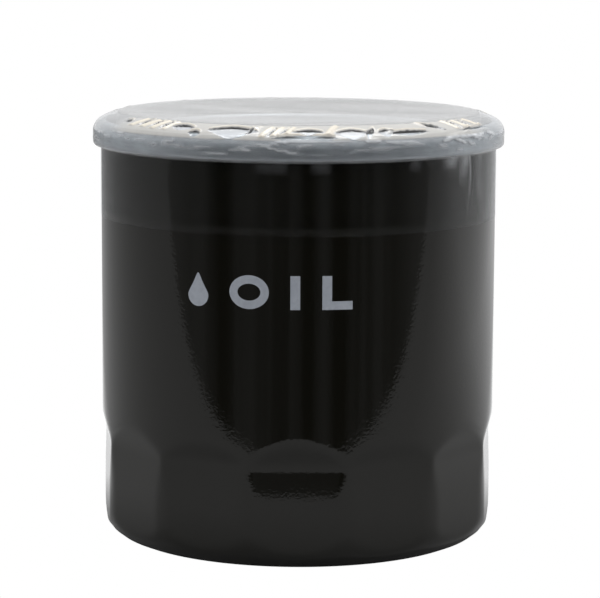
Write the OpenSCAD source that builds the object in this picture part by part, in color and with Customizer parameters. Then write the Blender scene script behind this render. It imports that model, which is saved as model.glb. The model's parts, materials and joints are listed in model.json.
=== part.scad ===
// Spin-on oil filter, standing on its closed end with the threaded end up and a clear
// shrink-film cap over it. Origin: centre of the closed end, on the surface it stands on.
// +Z points along the filter's axis, out of the threaded end. Millimetres.

/* [Can] */
// Outer diameter of the drawn steel can
can_od = 76; // [62:1:110]
// Height from the closed end to the top of the rolled seam
can_height = 80.6; // [64:0.1:150]
// Wall of the can
can_t = 0.45; // [0.4:0.05:0.7]
// Outer radius of the corner at the closed end
can_corner_r = 5.8; // [4:0.1:8]
// How far the middle of the closed end is pressed inwards
panel_rise = 1.2; // [0.5:0.1:2]
// Width of the flat ring that the can stands on, with the panel's sloping edge
foot_ring_w = 10.2; // [9:0.1:12]
// Number of wrench flats
flute_count = 13; // [12:1:16]
// Height of the wrench flats above the closed end
flute_height = 20; // [16:0.5:28]
// Height over which a flat runs out into the round wall
flute_runout = 3.5; // [2:0.5:5]

/* [Seaming lid] */
// Sheet thickness of the seaming lid
lid_t = 0.4; // [0.35:0.05:0.55]
// Height of the rolled double seam
seam_height = 4.7; // [4.2:0.1:6]
// Outer radius of the seam's upper edge
seam_top_r = 1.2; // [1:0.1:1.4]
// Depth of the gasket channel below the seam's top
channel_depth = 3.8; // [3:0.1:5]
// Height of the bead that holds the gasket from inside
bead_height = 2.4; // [1.8:0.1:3]
// Width of the lid's inner flange, which is welded to the base plate
flange_w = 3.1; // [2:0.1:5]

/* [Gasket] */
// Radial width of the gasket
gasket_w = 4.2; // [3.4:0.1:5.2]
// Height of the gasket
gasket_h = 5.2; // [4.4:0.1:6.5]
// Gap between the gasket and the channel's outer wall
gasket_gap = 2.05; // [1:0.05:2.6]

/* [Base plate] */
// Thickness of the base plate
plate_t = 2.8; // [2:0.1:4]
// Minor radius of the centre thread, which is the bore's wall
thread_minor_r = 8.75; // [7:0.05:10.6]
// Wall of the threaded neck outside that bore
neck_wall = 2.65; // [2:0.05:3.5]
// How far the neck reaches below the plate
neck_length = 6.25; // [5:0.05:9]
// Chamfer at both ends of the thread
thread_chamfer = 0.5; // [0.3:0.1:0.8]
// Number of inlet holes
inlet_count = 8; // [6:1:8]
// Radius of each inlet hole
inlet_hole_r = 3.1; // [2:0.1:3.7]

/* [Anti-drain-back valve] */
// Thickness of the rubber collar's wall
valve_collar_t = 2.15; // [1.6:0.05:2.6]
// Height of the collar
valve_collar_h = 2.2; // [1.8:0.1:2.6]
// Thickness of the collar's floor, clamped under the neck
valve_floor_t = 0.85; // [0.6:0.05:1.1]
// Thickness of the rubber lip
valve_lip_t = 1.0; // [0.7:0.05:1.2]
// Width of the lip's rim that seals outside the inlet holes
valve_rim_w = 1.9; // [1.5:0.1:2.5]
// Travel of the lip when oil pushes it open
valve_lip_travel = 1.5; // [1:0.1:1.8]

/* [Element] */
// Gap between the end caps and the flats inside the can
element_gap = 4.1; // [3:0.1:6]
// Sheet thickness of the end caps
end_cap_t = 0.5; // [0.4:0.05:0.8]
// Height of the end caps' outer skirt
end_cap_skirt = 4.5; // [3:0.1:6]
// Outer radius of the perforated centre tube
tube_r = 14; // [13:0.1:17]
// Wall of the centre tube
tube_t = 0.5; // [0.4:0.05:0.7]
// Radius of each perforation in the centre tube
tube_hole_r = 1.8; // [1:0.1:2.2]
// Perforations round the centre tube
tube_hole_columns = 8; // [6:1:9]
// Rows of perforations
tube_hole_rows = 7; // [5:1:8]
// Number of pleats in the paper
pleat_count = 48; // [36:1:50]
// Thickness of the paper
paper_t = 0.55; // [0.4:0.05:0.6]
// Thickness of the adhesive at each end of the paper
adhesive_t = 1.2; // [0.8:0.1:2]
// Height of the support spring under the element
spring_height = 9.5; // [8:0.1:12]
// Thickness of the support spring's strip
spring_t = 0.8; // [0.6:0.05:1]

/* [Bypass valve] */
// Radius of the bypass port
port_r = 6.5; // [5:0.1:7]
// Height of the valve seat above the lower end cap
seat_h = 1.3; // [0.8:0.1:2]
// Thickness of the rubber seal under the poppet
seal_t = 1.0; // [0.8:0.1:1.5]
// Radius of the poppet's guide stem
stem_r = 1.6; // [1.2:0.1:2]
// Inside height of the valve's cage above the lower end cap
cage_h = 16.5; // [15:0.1:20]
// Wire diameter of the valve spring
wire_d = 0.9; // [0.7:0.05:1]
// Turns of the valve spring
wire_turns = 6; // [5:1:7]
// Lift of the poppet
poppet_lift = 3.5; // [2:0.1:4]

/* [Shrink film] */
// Thickness of the film
film_t = 0.1; // [0.05:0.01:0.15]
// How far the film's skirt reaches below the seam
film_skirt_h = 14.4; // [8:0.1:20]

/* [Hidden] */

$fn = 96;
bend_fn = 32;
hair = 0.05;          // gap between sheets that are pressed together
past = 1;             // how far a cut runs past the surface that it opens

// Radii of the five layers of the double seam, from the can's wall outwards
can_r = can_od / 2;
can_ir = can_r - can_t;
panel_slope_w = 2.5;
panel_r = can_r - can_corner_r - foot_ring_w;
cover_hook_ir = can_r + hair;
cover_hook_or = cover_hook_ir + lid_t;
body_hook_ir = cover_hook_or + hair;
body_hook_or = body_hook_ir + can_t;
seam_wall_ir = body_hook_or + hair;
seam_wall_or = seam_wall_ir + lid_t;

// The seam's heights
seam_top = can_height;
seam_bottom = seam_top - seam_height;
body_turn_ir = (body_hook_ir - can_r) / 2;
body_turn_z = seam_top - lid_t - hair - body_turn_ir - can_t;
cover_turn_ir = (seam_wall_ir - cover_hook_or) / 2;
cover_turn_z = seam_bottom + cover_turn_ir + lid_t;
hook_play = 0.35;     // end play between each hook and the other sheet's turn
lid_floor = seam_top - channel_depth;

// The lid's gasket channel
chuck_or = can_ir - 2 * hair;
chuck_ir = chuck_or - lid_t;
chuck_top_r = 0.85;
channel_fillet = 0.5;
bead_fillet = 0.3;
gasket_or = chuck_ir - gasket_gap;
gasket_ir = gasket_or - gasket_w;
bead_or = gasket_ir - bead_fillet;
bead_turn_ir = 0.35;
bead_ir = bead_or - 2 * (lid_t + bead_turn_ir);
flange_ir = bead_ir - bead_fillet - flange_w;
gasket_top = lid_floor + gasket_h;
gasket_chamfer = 0.4;

// Base plate
plate_top = lid_floor - lid_t;
plate_bottom = plate_top - plate_t;
plate_r = chuck_ir - 0.35;
plate_chamfer = 0.4;
neck_r = thread_minor_r + neck_wall;
neck_end = plate_bottom - neck_length;
inlet_circle_r = (neck_r + flange_ir) / 2;
neck_fillet = min(1.5, inlet_circle_r - inlet_hole_r - neck_r - 0.3);

// Anti-drain-back valve
collar_ir = neck_r + hair;
collar_or = collar_ir + valve_collar_t;
collar_bottom = neck_end - hair - valve_floor_t;
collar_top = collar_bottom + valve_collar_h;
collar_hole_r = thread_minor_r + 0.95;
lip_root_r = collar_or + 0.1;
lip_root_z = collar_top - 0.3;
lip_top = plate_bottom - 0.03;
lip_rim_ir = inlet_circle_r + inlet_hole_r + 1.4;
lip_or = lip_rim_ir + valve_rim_w;

// Element
element_top = collar_bottom;
element_bottom = can_t + spring_height;
end_cap_r = can_r * cos(180 / flute_count) - can_t - element_gap;
cap_hole_r = thread_minor_r + 1.15;
cap_neck_depth = 2.4;
cap_bend_r = 0.6;
tube_ir = tube_r - tube_t;
media_ir = tube_r + 0.2;
media_or = end_cap_r - end_cap_t - 0.3;
media_top = element_top - end_cap_t - adhesive_t;
media_bottom = element_bottom + end_cap_t + adhesive_t;
pleat_gap = min(0.25, PI * media_ir / pleat_count - paper_t - 0.05);  // half the slot in a fold
fold_half_w = paper_t + pleat_gap;
tube_end_margin = 6;
clip_depth = 4.6;
clip_t = 0.3;
clip_half_w = slot_half_w(media_or - clip_depth) - 0.15;

// Bypass valve
lower_cap_top = element_bottom + end_cap_t;
seat_top = lower_cap_top + seat_h;
seal_r = port_r + 2.5;
seal_hole_r = 3;
poppet_r = seal_r + 0.2;
poppet_t = 0.6;
poppet_bottom = seat_top + seal_t;
poppet_top = poppet_bottom + poppet_t;
poppet_rim_h = 1.2;
cage_t = 0.6;
cage_or = tube_ir - 0.1;
cage_leg_share = 7 / 18;  // where the legs stand in the room between the poppet and the cage's edge
cage_ir = poppet_r + (cage_or - cage_t - poppet_r) * cage_leg_share;
cage_leg_w = 5;
cage_legs = 3;
cage_top = lower_cap_top + cage_h;
stem_play = 0.15;
stem_top = cage_top + cage_t + 0.8;
wire_mean_r = 6;
wire_sides = 8;
wire_steps = 18;      // rings for each turn of the valve spring
end_turn_pitch = wire_d * 1.06;

// Support spring
spring_ring_ir = port_r + 2;
spring_ring_or = spring_ring_ir + 5.5;
spring_arms = 4;
spring_arm_w = 9;
spring_foot_r = 1.5;
spring_foot_x = can_r - can_corner_r - (foot_ring_w - panel_slope_w) / 2;

// Shrink film
film_gap = hair;
film_top_z = gasket_top + film_gap;
film_flat_r = gasket_or - gasket_chamfer + hair;
film_edge_r = seam_wall_or - seam_top_r;
film_rim_r = seam_wall_or + film_gap;
film_skirt_r = can_r + film_gap;

// ---- Flat outlines, with x as the radius and y as the height ----

// A quarter of a ring round centre c: the bend of a sheet. way is [1 or -1, 1 or -1].
module bend(c, r_in, t, way) {
    reach = r_in + t + past;
    translate(c) intersection() {
        difference() {
            circle(r = r_in + t, $fn = bend_fn);
            circle(r = r_in, $fn = bend_fn);
        }
        translate([way[0] > 0 ? 0 : -reach, way[1] > 0 ? 0 : -reach]) square(reach);
    }
}

// A rectangle from its low corner to its high one
module strip(low, high) {
    translate(low) square(high - low);
}

// ---- Can ----

// The can's outline, moved inwards by inset: 0 for its outside, can_t for its cavity
module can_outline(inset) {
    corner = can_r - can_corner_r;
    difference() {
        union() {
            strip([0, can_corner_r], [can_r - inset, body_turn_z + (inset > 0 ? past * 3 : 0)]);
            strip([0, inset], [corner, can_corner_r]);
            translate([corner, can_corner_r]) circle(r = can_corner_r - inset);
        }
        polygon([
            [-past, inset - past], [-past, panel_rise + inset], [panel_r, panel_rise + inset],
            [panel_r + panel_slope_w, inset], [panel_r + panel_slope_w, inset - past]
        ]);
    }
}

// The wedges that press the wrench flats into the round wall
module flute_cutters(inset) {
    flat = can_r * cos(180 / flute_count) - inset;
    wide = 2 * can_r * sin(180 / flute_count) + 3;
    for (i = [0 : flute_count - 1])
        rotate([0, 0, i * 360 / flute_count - 90])
            rotate([90, 0, 0])
                linear_extrude(height = wide, center = true)
                    polygon([
                        [flat, -past], [flat, flute_height - flute_runout],
                        [can_r - inset, flute_height], [can_r + 2, flute_height + 2],
                        [can_r + 2, -past]
                    ]);
}

module fluted_can(inset) {
    difference() {
        rotate_extrude() intersection() {
            can_outline(inset);
            strip([0, -past], [can_r + past, can_height + past]);
        }
        flute_cutters(inset);
    }
}

// The can's top edge, turned outwards and down as the seam's body hook
module body_hook_outline() {
    middle = can_r + body_turn_ir;
    bend([middle, body_turn_z], body_turn_ir, can_t, [-1, 1]);
    bend([middle, body_turn_z], body_turn_ir, can_t, [1, 1]);
    strip([body_hook_ir, cover_turn_z + hook_play], [body_hook_or, body_turn_z]);
}

module can_shell() {
    color("#161616") union() {
        difference() {
            fluted_can(0);
            fluted_can(can_t);
        }
        rotate_extrude() body_hook_outline();
    }
}

// ---- Seaming lid ----

// The outer part: seam wall, seam top, cover hook and the channel's outer wall
module lid_seam_outline() {
    outer = [seam_wall_or - seam_top_r, seam_top - seam_top_r];
    inner = [chuck_ir + chuck_top_r, seam_top - chuck_top_r];
    turn = [cover_hook_or + cover_turn_ir, cover_turn_z];
    bend(outer, seam_top_r - lid_t, lid_t, [1, 1]);
    strip([seam_wall_ir, cover_turn_z], [seam_wall_or, outer[1]]);
    bend(turn, cover_turn_ir, lid_t, [1, -1]);
    bend(turn, cover_turn_ir, lid_t, [-1, -1]);
    strip([cover_hook_ir, cover_turn_z], [cover_hook_or, body_turn_z - hook_play]);
    strip([inner[0], seam_top - lid_t], [outer[0], seam_top]);
    bend(inner, chuck_top_r - lid_t, lid_t, [-1, 1]);
    strip([chuck_ir, lid_floor + channel_fillet], [chuck_or, inner[1]]);
}

// The inner part: channel floor, the bead inside the gasket, and the welded flange
module lid_channel_outline() {
    corner = [chuck_ir - channel_fillet, lid_floor + channel_fillet];
    bead_z = lid_floor + bead_height - bead_turn_ir - lid_t;
    foot = lid_floor + bead_fillet;
    bead_mid = bead_ir + lid_t + bead_turn_ir;
    bend(corner, channel_fillet, lid_t, [1, -1]);
    strip([bead_or + bead_fillet, plate_top], [corner[0], lid_floor]);
    bend([bead_or + bead_fillet, foot], bead_fillet, lid_t, [-1, -1]);
    strip([bead_or - lid_t, foot], [bead_or, bead_z]);
    bend([bead_mid, bead_z], bead_turn_ir, lid_t, [1, 1]);
    bend([bead_mid, bead_z], bead_turn_ir, lid_t, [-1, 1]);
    strip([bead_ir, foot], [bead_ir + lid_t, bead_z]);
    bend([bead_ir - bead_fillet, foot], bead_fillet, lid_t, [1, -1]);
    strip([flange_ir, plate_top], [bead_ir - bead_fillet, lid_floor]);
}

module seaming_lid() {
    color("#8d9499") rotate_extrude() {
        lid_seam_outline();
        lid_channel_outline();
    }
}

// The bead of sealing compound under the body hook's end
module seam_sealant() {
    low = cover_turn_z - 0.05;
    color("#c9b27a") rotate_extrude()
        strip([body_hook_ir + 0.05, low], [body_hook_or - 0.05, cover_turn_z + hook_play - 0.03]);
}

// ---- Base plate, gasket and anti-drain-back valve ----

module base_plate() {
    color("#a8a49a") difference() {
        rotate_extrude() difference() {
            union() {
                polygon([
                    [0, plate_bottom], [plate_r - plate_chamfer, plate_bottom],
                    [plate_r, plate_bottom + plate_chamfer], [plate_r, plate_top - plate_chamfer],
                    [plate_r - plate_chamfer, plate_top], [0, plate_top]
                ]);
                strip([0, neck_end], [neck_r, plate_bottom]);
                strip([neck_r, plate_bottom - neck_fillet], [neck_r + neck_fillet, plate_bottom]);
            }
            translate([neck_r + neck_fillet, plate_bottom - neck_fillet]) circle(r = neck_fillet);
            strip([-past, neck_end - past], [thread_minor_r, plate_top + past]);
            polygon([
                [thread_minor_r - past, plate_top - thread_chamfer - past],
                [thread_minor_r + thread_chamfer + past, plate_top + past],
                [thread_minor_r - past, plate_top + past]
            ]);
            polygon([
                [thread_minor_r - past, neck_end + thread_chamfer + past],
                [thread_minor_r + thread_chamfer + past, neck_end - past],
                [thread_minor_r - past, neck_end - past]
            ]);
        }
        for (i = [0 : inlet_count - 1])
            rotate([0, 0, (i + 0.5) * 360 / inlet_count])
                translate([inlet_circle_r, 0, plate_bottom - past])
                    cylinder(r = inlet_hole_r, h = plate_t + 2 * past, $fn = 48);
    }
}

module gasket() {
    color("#1b1b1b") rotate_extrude() polygon([
        [gasket_ir, lid_floor], [gasket_or, lid_floor], [gasket_or, gasket_top - gasket_chamfer],
        [gasket_or - gasket_chamfer, gasket_top], [gasket_ir + gasket_chamfer, gasket_top],
        [gasket_ir, gasket_top - gasket_chamfer]
    ]);
}

// The rubber collar that grips the neck; its floor is clamped between the neck and the element
module drain_valve_collar() {
    color("#26231f") rotate_extrude() {
        strip([collar_hole_r, collar_bottom], [collar_or, collar_bottom + valve_floor_t]);
        strip([collar_ir, collar_bottom], [collar_or, collar_top]);
    }
}

// The cone of rubber that rises from the collar and closes the inlet holes from below
module drain_valve_lip() {
    slope_top = lip_root_z + valve_lip_t;
    color("#26231f") rotate_extrude() polygon([
        [lip_root_r, lip_root_z], [lip_rim_ir + 0.4, lip_top - valve_lip_t], [lip_or, lip_top - 0.6],
        [lip_or, lip_top], [lip_rim_ir, lip_top], [lip_root_r, slope_top]
    ]);
}

// ---- Element ----

// A pressed cap's outline with its flat face at height 0 and its skirt below
module end_cap_outline(hole_r) {
    corner = [end_cap_r - cap_bend_r - end_cap_t, -end_cap_t - cap_bend_r];
    bend(corner, cap_bend_r, end_cap_t, [1, 1]);
    strip([end_cap_r - end_cap_t, -end_cap_skirt], [end_cap_r, corner[1]]);
    strip([hole_r, -end_cap_t], [corner[0], 0]);
}

module upper_end_cap() {
    color("#b9b6ab") translate([0, 0, element_top]) rotate_extrude() {
        end_cap_outline(cap_hole_r);
        strip([cap_hole_r, -cap_neck_depth], [cap_hole_r + end_cap_t, 0]);
    }
}

// The same press shape upside down, with the bypass port and its raised seat in the middle
module lower_end_cap() {
    color("#b9b6ab") rotate_extrude() {
        translate([0, element_bottom]) mirror([0, 1]) end_cap_outline(port_r);
        strip([port_r, element_bottom], [port_r + end_cap_t, seat_top]);
    }
}

module centre_tube() {
    span = element_top - end_cap_t - lower_cap_top;
    row_step = (span - 2 * tube_end_margin) / (tube_hole_rows - 1);
    color("#b9b6ab") difference() {
        translate([0, 0, lower_cap_top]) cylinder(r = tube_r, h = span);
        translate([0, 0, lower_cap_top - past]) cylinder(r = tube_ir, h = span + 2 * past);
        for (row = [0 : tube_hole_rows - 1], column = [0 : tube_hole_columns - 1])
            translate([0, 0, lower_cap_top + tube_end_margin + row * row_step])
                rotate([0, 0, (column + (row % 2) / 2) * 360 / tube_hole_columns])
                    rotate([0, 90, 0])
                        cylinder(r = tube_hole_r, h = tube_r + past, $fn = 24);
    }
}

// A point at a radius, half_w to one side of the ray at an angle
function beside(radius, angle, half_w) =
    let (turn = asin(half_w / radius)) [radius * cos(angle + turn), radius * sin(angle + turn)];

// One side of the pleated paper: two points at every outer fold and two at every inner one
function pleat_side(outer_r, outer_w, inner_r, inner_w) = [
    for (i = [0 : pleat_count - 1]) let (fold = i * 360 / pleat_count, valley = fold + 180 / pleat_count)
        each [
            beside(outer_r, fold, -outer_w), beside(outer_r, fold, outer_w),
            beside(inner_r, valley, -inner_w), beside(inner_r, valley, inner_w)
        ]
];

// Half of the slot between two outer folds, at a radius
function slot_half_w(radius) =
    let (
        low = media_ir + paper_t,
        widest = PI * media_or / pleat_count - fold_half_w
    ) pleat_gap + (radius - low) / (media_or - low) * (widest - pleat_gap);

module pleated_media() {
    color("#c98f4e") translate([0, 0, media_bottom])
        linear_extrude(height = media_top - media_bottom) difference() {
            polygon(pleat_side(media_or, fold_half_w, media_ir + paper_t, pleat_gap));
            polygon(pleat_side(media_or - paper_t, pleat_gap, media_ir, fold_half_w));
        }
}

module adhesive_ring(z) {
    color("#6d6a5c") translate([0, 0, z]) rotate_extrude()
        strip([tube_r + 0.1, 0], [end_cap_r - end_cap_t - cap_bend_r, adhesive_t]);
}

module upper_adhesive() { adhesive_ring(media_top); }

module lower_adhesive() { adhesive_ring(lower_cap_top); }

// A folded strip that closes the paper, in the slot between two outer folds
module media_seam_clip() {
    color("#9a9a96") translate([0, 0, media_bottom])
        rotate([0, 0, 180 / pleat_count])
            linear_extrude(height = media_top - media_bottom)
                translate([media_or - clip_depth, 0]) difference() {
                    translate([0, -clip_half_w]) square([clip_depth, 2 * clip_half_w]);
                    translate([-past, clip_t - clip_half_w])
                        square([clip_depth + past - clip_t, 2 * (clip_half_w - clip_t)]);
                }
}

// A wedge between two angles, to cut a round strip to length
module wedge(from, to, reach) {
    rim = [for (k = [0 : 6]) let (a = from + (to - from) * k / 6) reach * [cos(a), sin(a)]];
    polygon(concat([[0, 0]], rim));
}

// A pressed strip spring: a ring under the element and arms that stand on the can's floor
module support_spring() {
    root = [spring_ring_or - 1, element_bottom];
    foot = [spring_foot_x, can_t + spring_t + spring_foot_r];
    reach = norm(foot - root);
    slope = atan2(root[1] - foot[1], foot[0] - root[0]) + asin(spring_foot_r / reach);
    arm = sqrt(reach * reach - spring_foot_r * spring_foot_r);
    color("#6f7478") union() {
        translate([0, 0, element_bottom - spring_t]) difference() {
            cylinder(r = spring_ring_or, h = spring_t);
            translate([0, 0, -past]) cylinder(r = spring_ring_ir, h = spring_t + 2 * past);
        }
        for (i = [0 : spring_arms - 1])
            rotate([0, 0, (i + 0.5) * 360 / spring_arms]) rotate([90, 0, 0])
                linear_extrude(height = spring_arm_w, center = true) {
                    strip([root[0] - 2, root[1] - spring_t], root);
                    translate(root) rotate(-slope) translate([0, -spring_t]) square([arm + hair, spring_t]);
                    translate(foot) difference() {
                        circle(r = spring_foot_r + spring_t, $fn = bend_fn);
                        circle(r = spring_foot_r, $fn = bend_fn);
                        wedge(40, 270 - slope, 4 * spring_foot_r);
                    }
                }
    }
}

// ---- Bypass valve ----

// A pressed cage: a ring on the end cap, legs, and a top plate that guides the poppet's stem
module bypass_cage() {
    color("#b9b6ab") difference() {
        union() {
            translate([0, 0, lower_cap_top]) difference() {
                cylinder(r = cage_or, h = cage_t);
                translate([0, 0, -past]) cylinder(r = cage_ir, h = cage_t + 2 * past);
            }
            translate([0, 0, cage_top]) cylinder(r = cage_ir + cage_t, h = cage_t);
            for (i = [0 : cage_legs - 1])
                rotate([0, 0, i * 360 / cage_legs])
                    translate([cage_ir, -cage_leg_w / 2, lower_cap_top])
                        cube([cage_t, cage_leg_w, cage_h + cage_t]);
        }
        translate([0, 0, cage_top - past]) cylinder(r = stem_r + stem_play, h = cage_t + 2 * past);
    }
}

// A ring of points round the wire at one step along the coil
function coil_height(turn) =
    let (
        free = wire_turns - 2,
        low = poppet_top + wire_d / 2,
        high = cage_top - wire_d / 2,
        middle_pitch = (high - low - 2 * end_turn_pitch) / free
    )
    turn < 1 ? low + turn * end_turn_pitch
    : turn > wire_turns - 1 ? high - (wire_turns - turn) * end_turn_pitch
    : low + end_turn_pitch + (turn - 1) * middle_pitch;

function wire_ring(turn) = [
    for (side = [0 : wire_sides - 1])
        let (
            around = side * 360 / wire_sides,
            r = wire_mean_r + wire_d / 2 * cos(around),
            z = coil_height(turn) + wire_d / 2 * sin(around)
        ) [r * cos(turn * 360), r * sin(turn * 360), z]
];

module bypass_spring() {
    rings = wire_turns * wire_steps;
    points = [for (k = [0 : rings]) each wire_ring(k / wire_steps)];
    sides = [
        for (k = [0 : rings - 1], s = [0 : wire_sides - 1])
            let (a = k * wire_sides + s, b = k * wire_sides + (s + 1) % wire_sides)
                [a, b, b + wire_sides, a + wire_sides]
    ];
    start = [for (s = [wire_sides - 1 : -1 : 0]) s];
    end = [for (s = [0 : wire_sides - 1]) rings * wire_sides + s];
    color("#7d8286") polyhedron(points = points, faces = concat(sides, [start, end]));
}

// A pressed disc with an upturned rim round the spring, a guide stem, and a stub for the seal
module bypass_poppet() {
    stub_h = 0.6;
    color("#9a9a96") rotate_extrude() {
        strip([0, poppet_bottom], [poppet_r, poppet_top]);
        strip([poppet_r - 0.5, poppet_bottom], [poppet_r, poppet_top + poppet_rim_h]);
        strip([0, poppet_bottom - stub_h], [seal_hole_r - hair, poppet_top]);
        strip([0, poppet_bottom], [stem_r, stem_top]);
    }
}

module bypass_seal() {
    color("#1b1b1b") rotate_extrude()
        strip([seal_hole_r, seat_top], [seal_r, poppet_bottom]);
}

// ---- Shrink film ----

// The taut sheet that lies on the gasket
module film_top() {
    color([0.9, 0.92, 0.94, 0.35]) translate([0, 0, film_top_z]) cylinder(r = film_flat_r, h = film_t);
}

// The shoulder that falls from the gasket to the seam, and the band round the seam
module film_band() {
    top_bend = [film_edge_r, seam_top - seam_top_r];
    edge_z = seam_top + film_gap;
    color([0.9, 0.92, 0.94, 0.35]) rotate_extrude() {
        polygon([
            [film_flat_r, film_top_z], [film_edge_r, edge_z], [film_edge_r, edge_z + film_t],
            [film_flat_r, film_top_z + film_t]
        ]);
        bend(top_bend, seam_top_r + film_gap, film_t, [1, 1]);
        strip([film_rim_r, cover_turn_z], [film_rim_r + film_t, top_bend[1]]);
    }
}

// The skirt that has shrunk under the seam and on to the can's wall
module film_skirt() {
    turn = [cover_hook_or + cover_turn_ir, cover_turn_z];
    turn_r = film_rim_r - turn[0];
    low = seam_bottom - film_skirt_h;
    high = cover_turn_z - turn_r - film_t;
    inner = turn[0] - turn_r - film_skirt_r;
    color([0.9, 0.92, 0.94, 0.35]) rotate_extrude() {
        bend(turn, turn_r, film_t, [1, -1]);
        strip([film_skirt_r, high], [turn[0], high + film_t]);
        strip([film_skirt_r, low], [film_skirt_r + film_t, high + film_t]);
    }
}

can_shell();
seaming_lid();
seam_sealant();
base_plate();
gasket();
support_spring();
drain_valve_collar();
drain_valve_lip();
upper_end_cap();
lower_end_cap();
centre_tube();
pleated_media();
upper_adhesive();
lower_adhesive();
media_seam_clip();
bypass_cage();
bypass_spring();
bypass_poppet();
bypass_seal();
film_top();
film_band();
film_skirt();
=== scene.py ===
import json
import math
import random

import bmesh
import bpy
import numpy as np
from mathutils import Matrix, Vector

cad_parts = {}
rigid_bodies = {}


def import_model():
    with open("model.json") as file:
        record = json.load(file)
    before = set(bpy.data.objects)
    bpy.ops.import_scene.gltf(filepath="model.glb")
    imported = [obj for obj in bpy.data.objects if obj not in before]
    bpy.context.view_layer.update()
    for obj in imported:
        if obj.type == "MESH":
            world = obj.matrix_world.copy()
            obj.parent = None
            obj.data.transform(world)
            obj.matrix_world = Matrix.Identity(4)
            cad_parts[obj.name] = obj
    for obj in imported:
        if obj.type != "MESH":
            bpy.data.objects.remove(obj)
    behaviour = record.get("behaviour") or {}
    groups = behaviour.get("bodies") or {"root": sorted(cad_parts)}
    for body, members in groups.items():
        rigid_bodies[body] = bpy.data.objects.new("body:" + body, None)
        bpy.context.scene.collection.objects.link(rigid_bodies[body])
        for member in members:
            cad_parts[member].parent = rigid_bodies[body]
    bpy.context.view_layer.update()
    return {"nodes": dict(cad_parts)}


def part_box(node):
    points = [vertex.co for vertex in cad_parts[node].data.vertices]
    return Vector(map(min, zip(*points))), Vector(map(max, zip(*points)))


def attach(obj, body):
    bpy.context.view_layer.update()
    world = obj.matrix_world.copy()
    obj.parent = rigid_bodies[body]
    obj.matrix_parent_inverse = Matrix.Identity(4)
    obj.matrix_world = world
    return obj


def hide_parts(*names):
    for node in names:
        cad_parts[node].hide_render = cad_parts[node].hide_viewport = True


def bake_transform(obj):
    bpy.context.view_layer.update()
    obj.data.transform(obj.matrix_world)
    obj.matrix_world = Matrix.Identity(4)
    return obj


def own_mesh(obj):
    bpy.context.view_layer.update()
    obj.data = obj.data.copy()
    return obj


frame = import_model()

# A spin-on oil filter standing on its closed end: black can, steel seaming lid with a flat gasket, threaded
# base
# plate, pleated element inside, and a clear shrink film over the top. Metres. The filter's axis is Z.

MM = 0.001
TAU = 2 * math.pi
SEED = 11


# ---------------------------------------------------------------- sizes taken from the frame

def radius_of(node):
    """The outer radius of a CAD node that is round about Z."""
    low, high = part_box(node)
    return (high.x - low.x) / 2


SHEET_GAP = 0.05 * MM        # between sheets that are pressed together
CAN_T = 0.45 * MM
LID_T = 0.4 * MM
LID_R = radius_of("seaming_lid")
CAN_R = LID_R - 2 * LID_T - CAN_T - 3 * SHEET_GAP
SEAM_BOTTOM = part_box("seaming_lid")[0].z
SEAM_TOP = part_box("seaming_lid")[1].z
GASKET_R = radius_of("gasket")
LID_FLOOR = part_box("gasket")[0].z
GASKET_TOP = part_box("gasket")[1].z
PLATE_R = radius_of("base_plate")
NECK_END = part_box("base_plate")[0].z
PLATE_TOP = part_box("base_plate")[1].z
FLUTES = 13


# ---------------------------------------------------------------- colours, nodes and meshes

def srgb(text, alpha=1.0):
    """An sRGB hex colour as linear red, green, blue and alpha."""
    parts = [int(text[i:i + 2], 16) / 255 for i in (1, 3, 5)]
    return [c / 12.92 if c <= 0.04045 else ((c + 0.055) / 1.055) ** 2.4 for c in parts] + [alpha]


def add_node(tree, kind, inputs=None, **settings):
    """Adds a node, sets its properties, and fills its inputs with values or with links from other sockets."""
    node = tree.nodes.new(kind)
    for name, value in settings.items():
        setattr(node, name, value)
    for key, value in (inputs or {}).items():
        if isinstance(value, bpy.types.NodeSocket):
            tree.links.new(value, node.inputs[key])
        else:
            node.inputs[key].default_value = value
    return node


def new_material(name):
    """An empty node material, and its tree."""
    material = bpy.data.materials.new(name)
    material.use_nodes = True
    material.node_tree.nodes.clear()
    return material, material.node_tree


def finish_material(material, shader):
    """Puts a shader's output on the material's surface."""
    add_node(material.node_tree, "ShaderNodeOutputMaterial", {"Surface": shader.outputs[0]})
    return material


def make_object(name, vertices, faces, material, uvs=None):
    """A mesh object at the origin, smooth, with its faces turned outwards."""
    mesh = bpy.data.meshes.new(name)
    mesh.from_pydata([tuple(v) for v in vertices], [], faces)
    if uvs is not None:
        layer = mesh.uv_layers.new(name="surface")
        index = np.zeros(len(mesh.loops), int)
        mesh.loops.foreach_get("vertex_index", index)
        layer.data.foreach_set("uv", np.asarray(uvs, np.float32)[index].ravel())
    mesh.validate()
    cage = bmesh.new()
    cage.from_mesh(mesh)
    if cage.calc_volume(signed=True) < 0:
        bmesh.ops.reverse_faces(cage, faces=cage.faces)
    for face in cage.faces:
        face.smooth = True
    cage.to_mesh(mesh)
    cage.free()
    mesh.materials.append(material)
    thing = bpy.data.objects.new(name, mesh)
    bpy.context.scene.collection.objects.link(thing)
    return thing


def shade_by_angle(thing, degrees=35):
    """Keeps edges sharper than this angle crisp."""
    thing.data.set_sharp_from_angle(angle=math.radians(degrees))
    return thing


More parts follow.
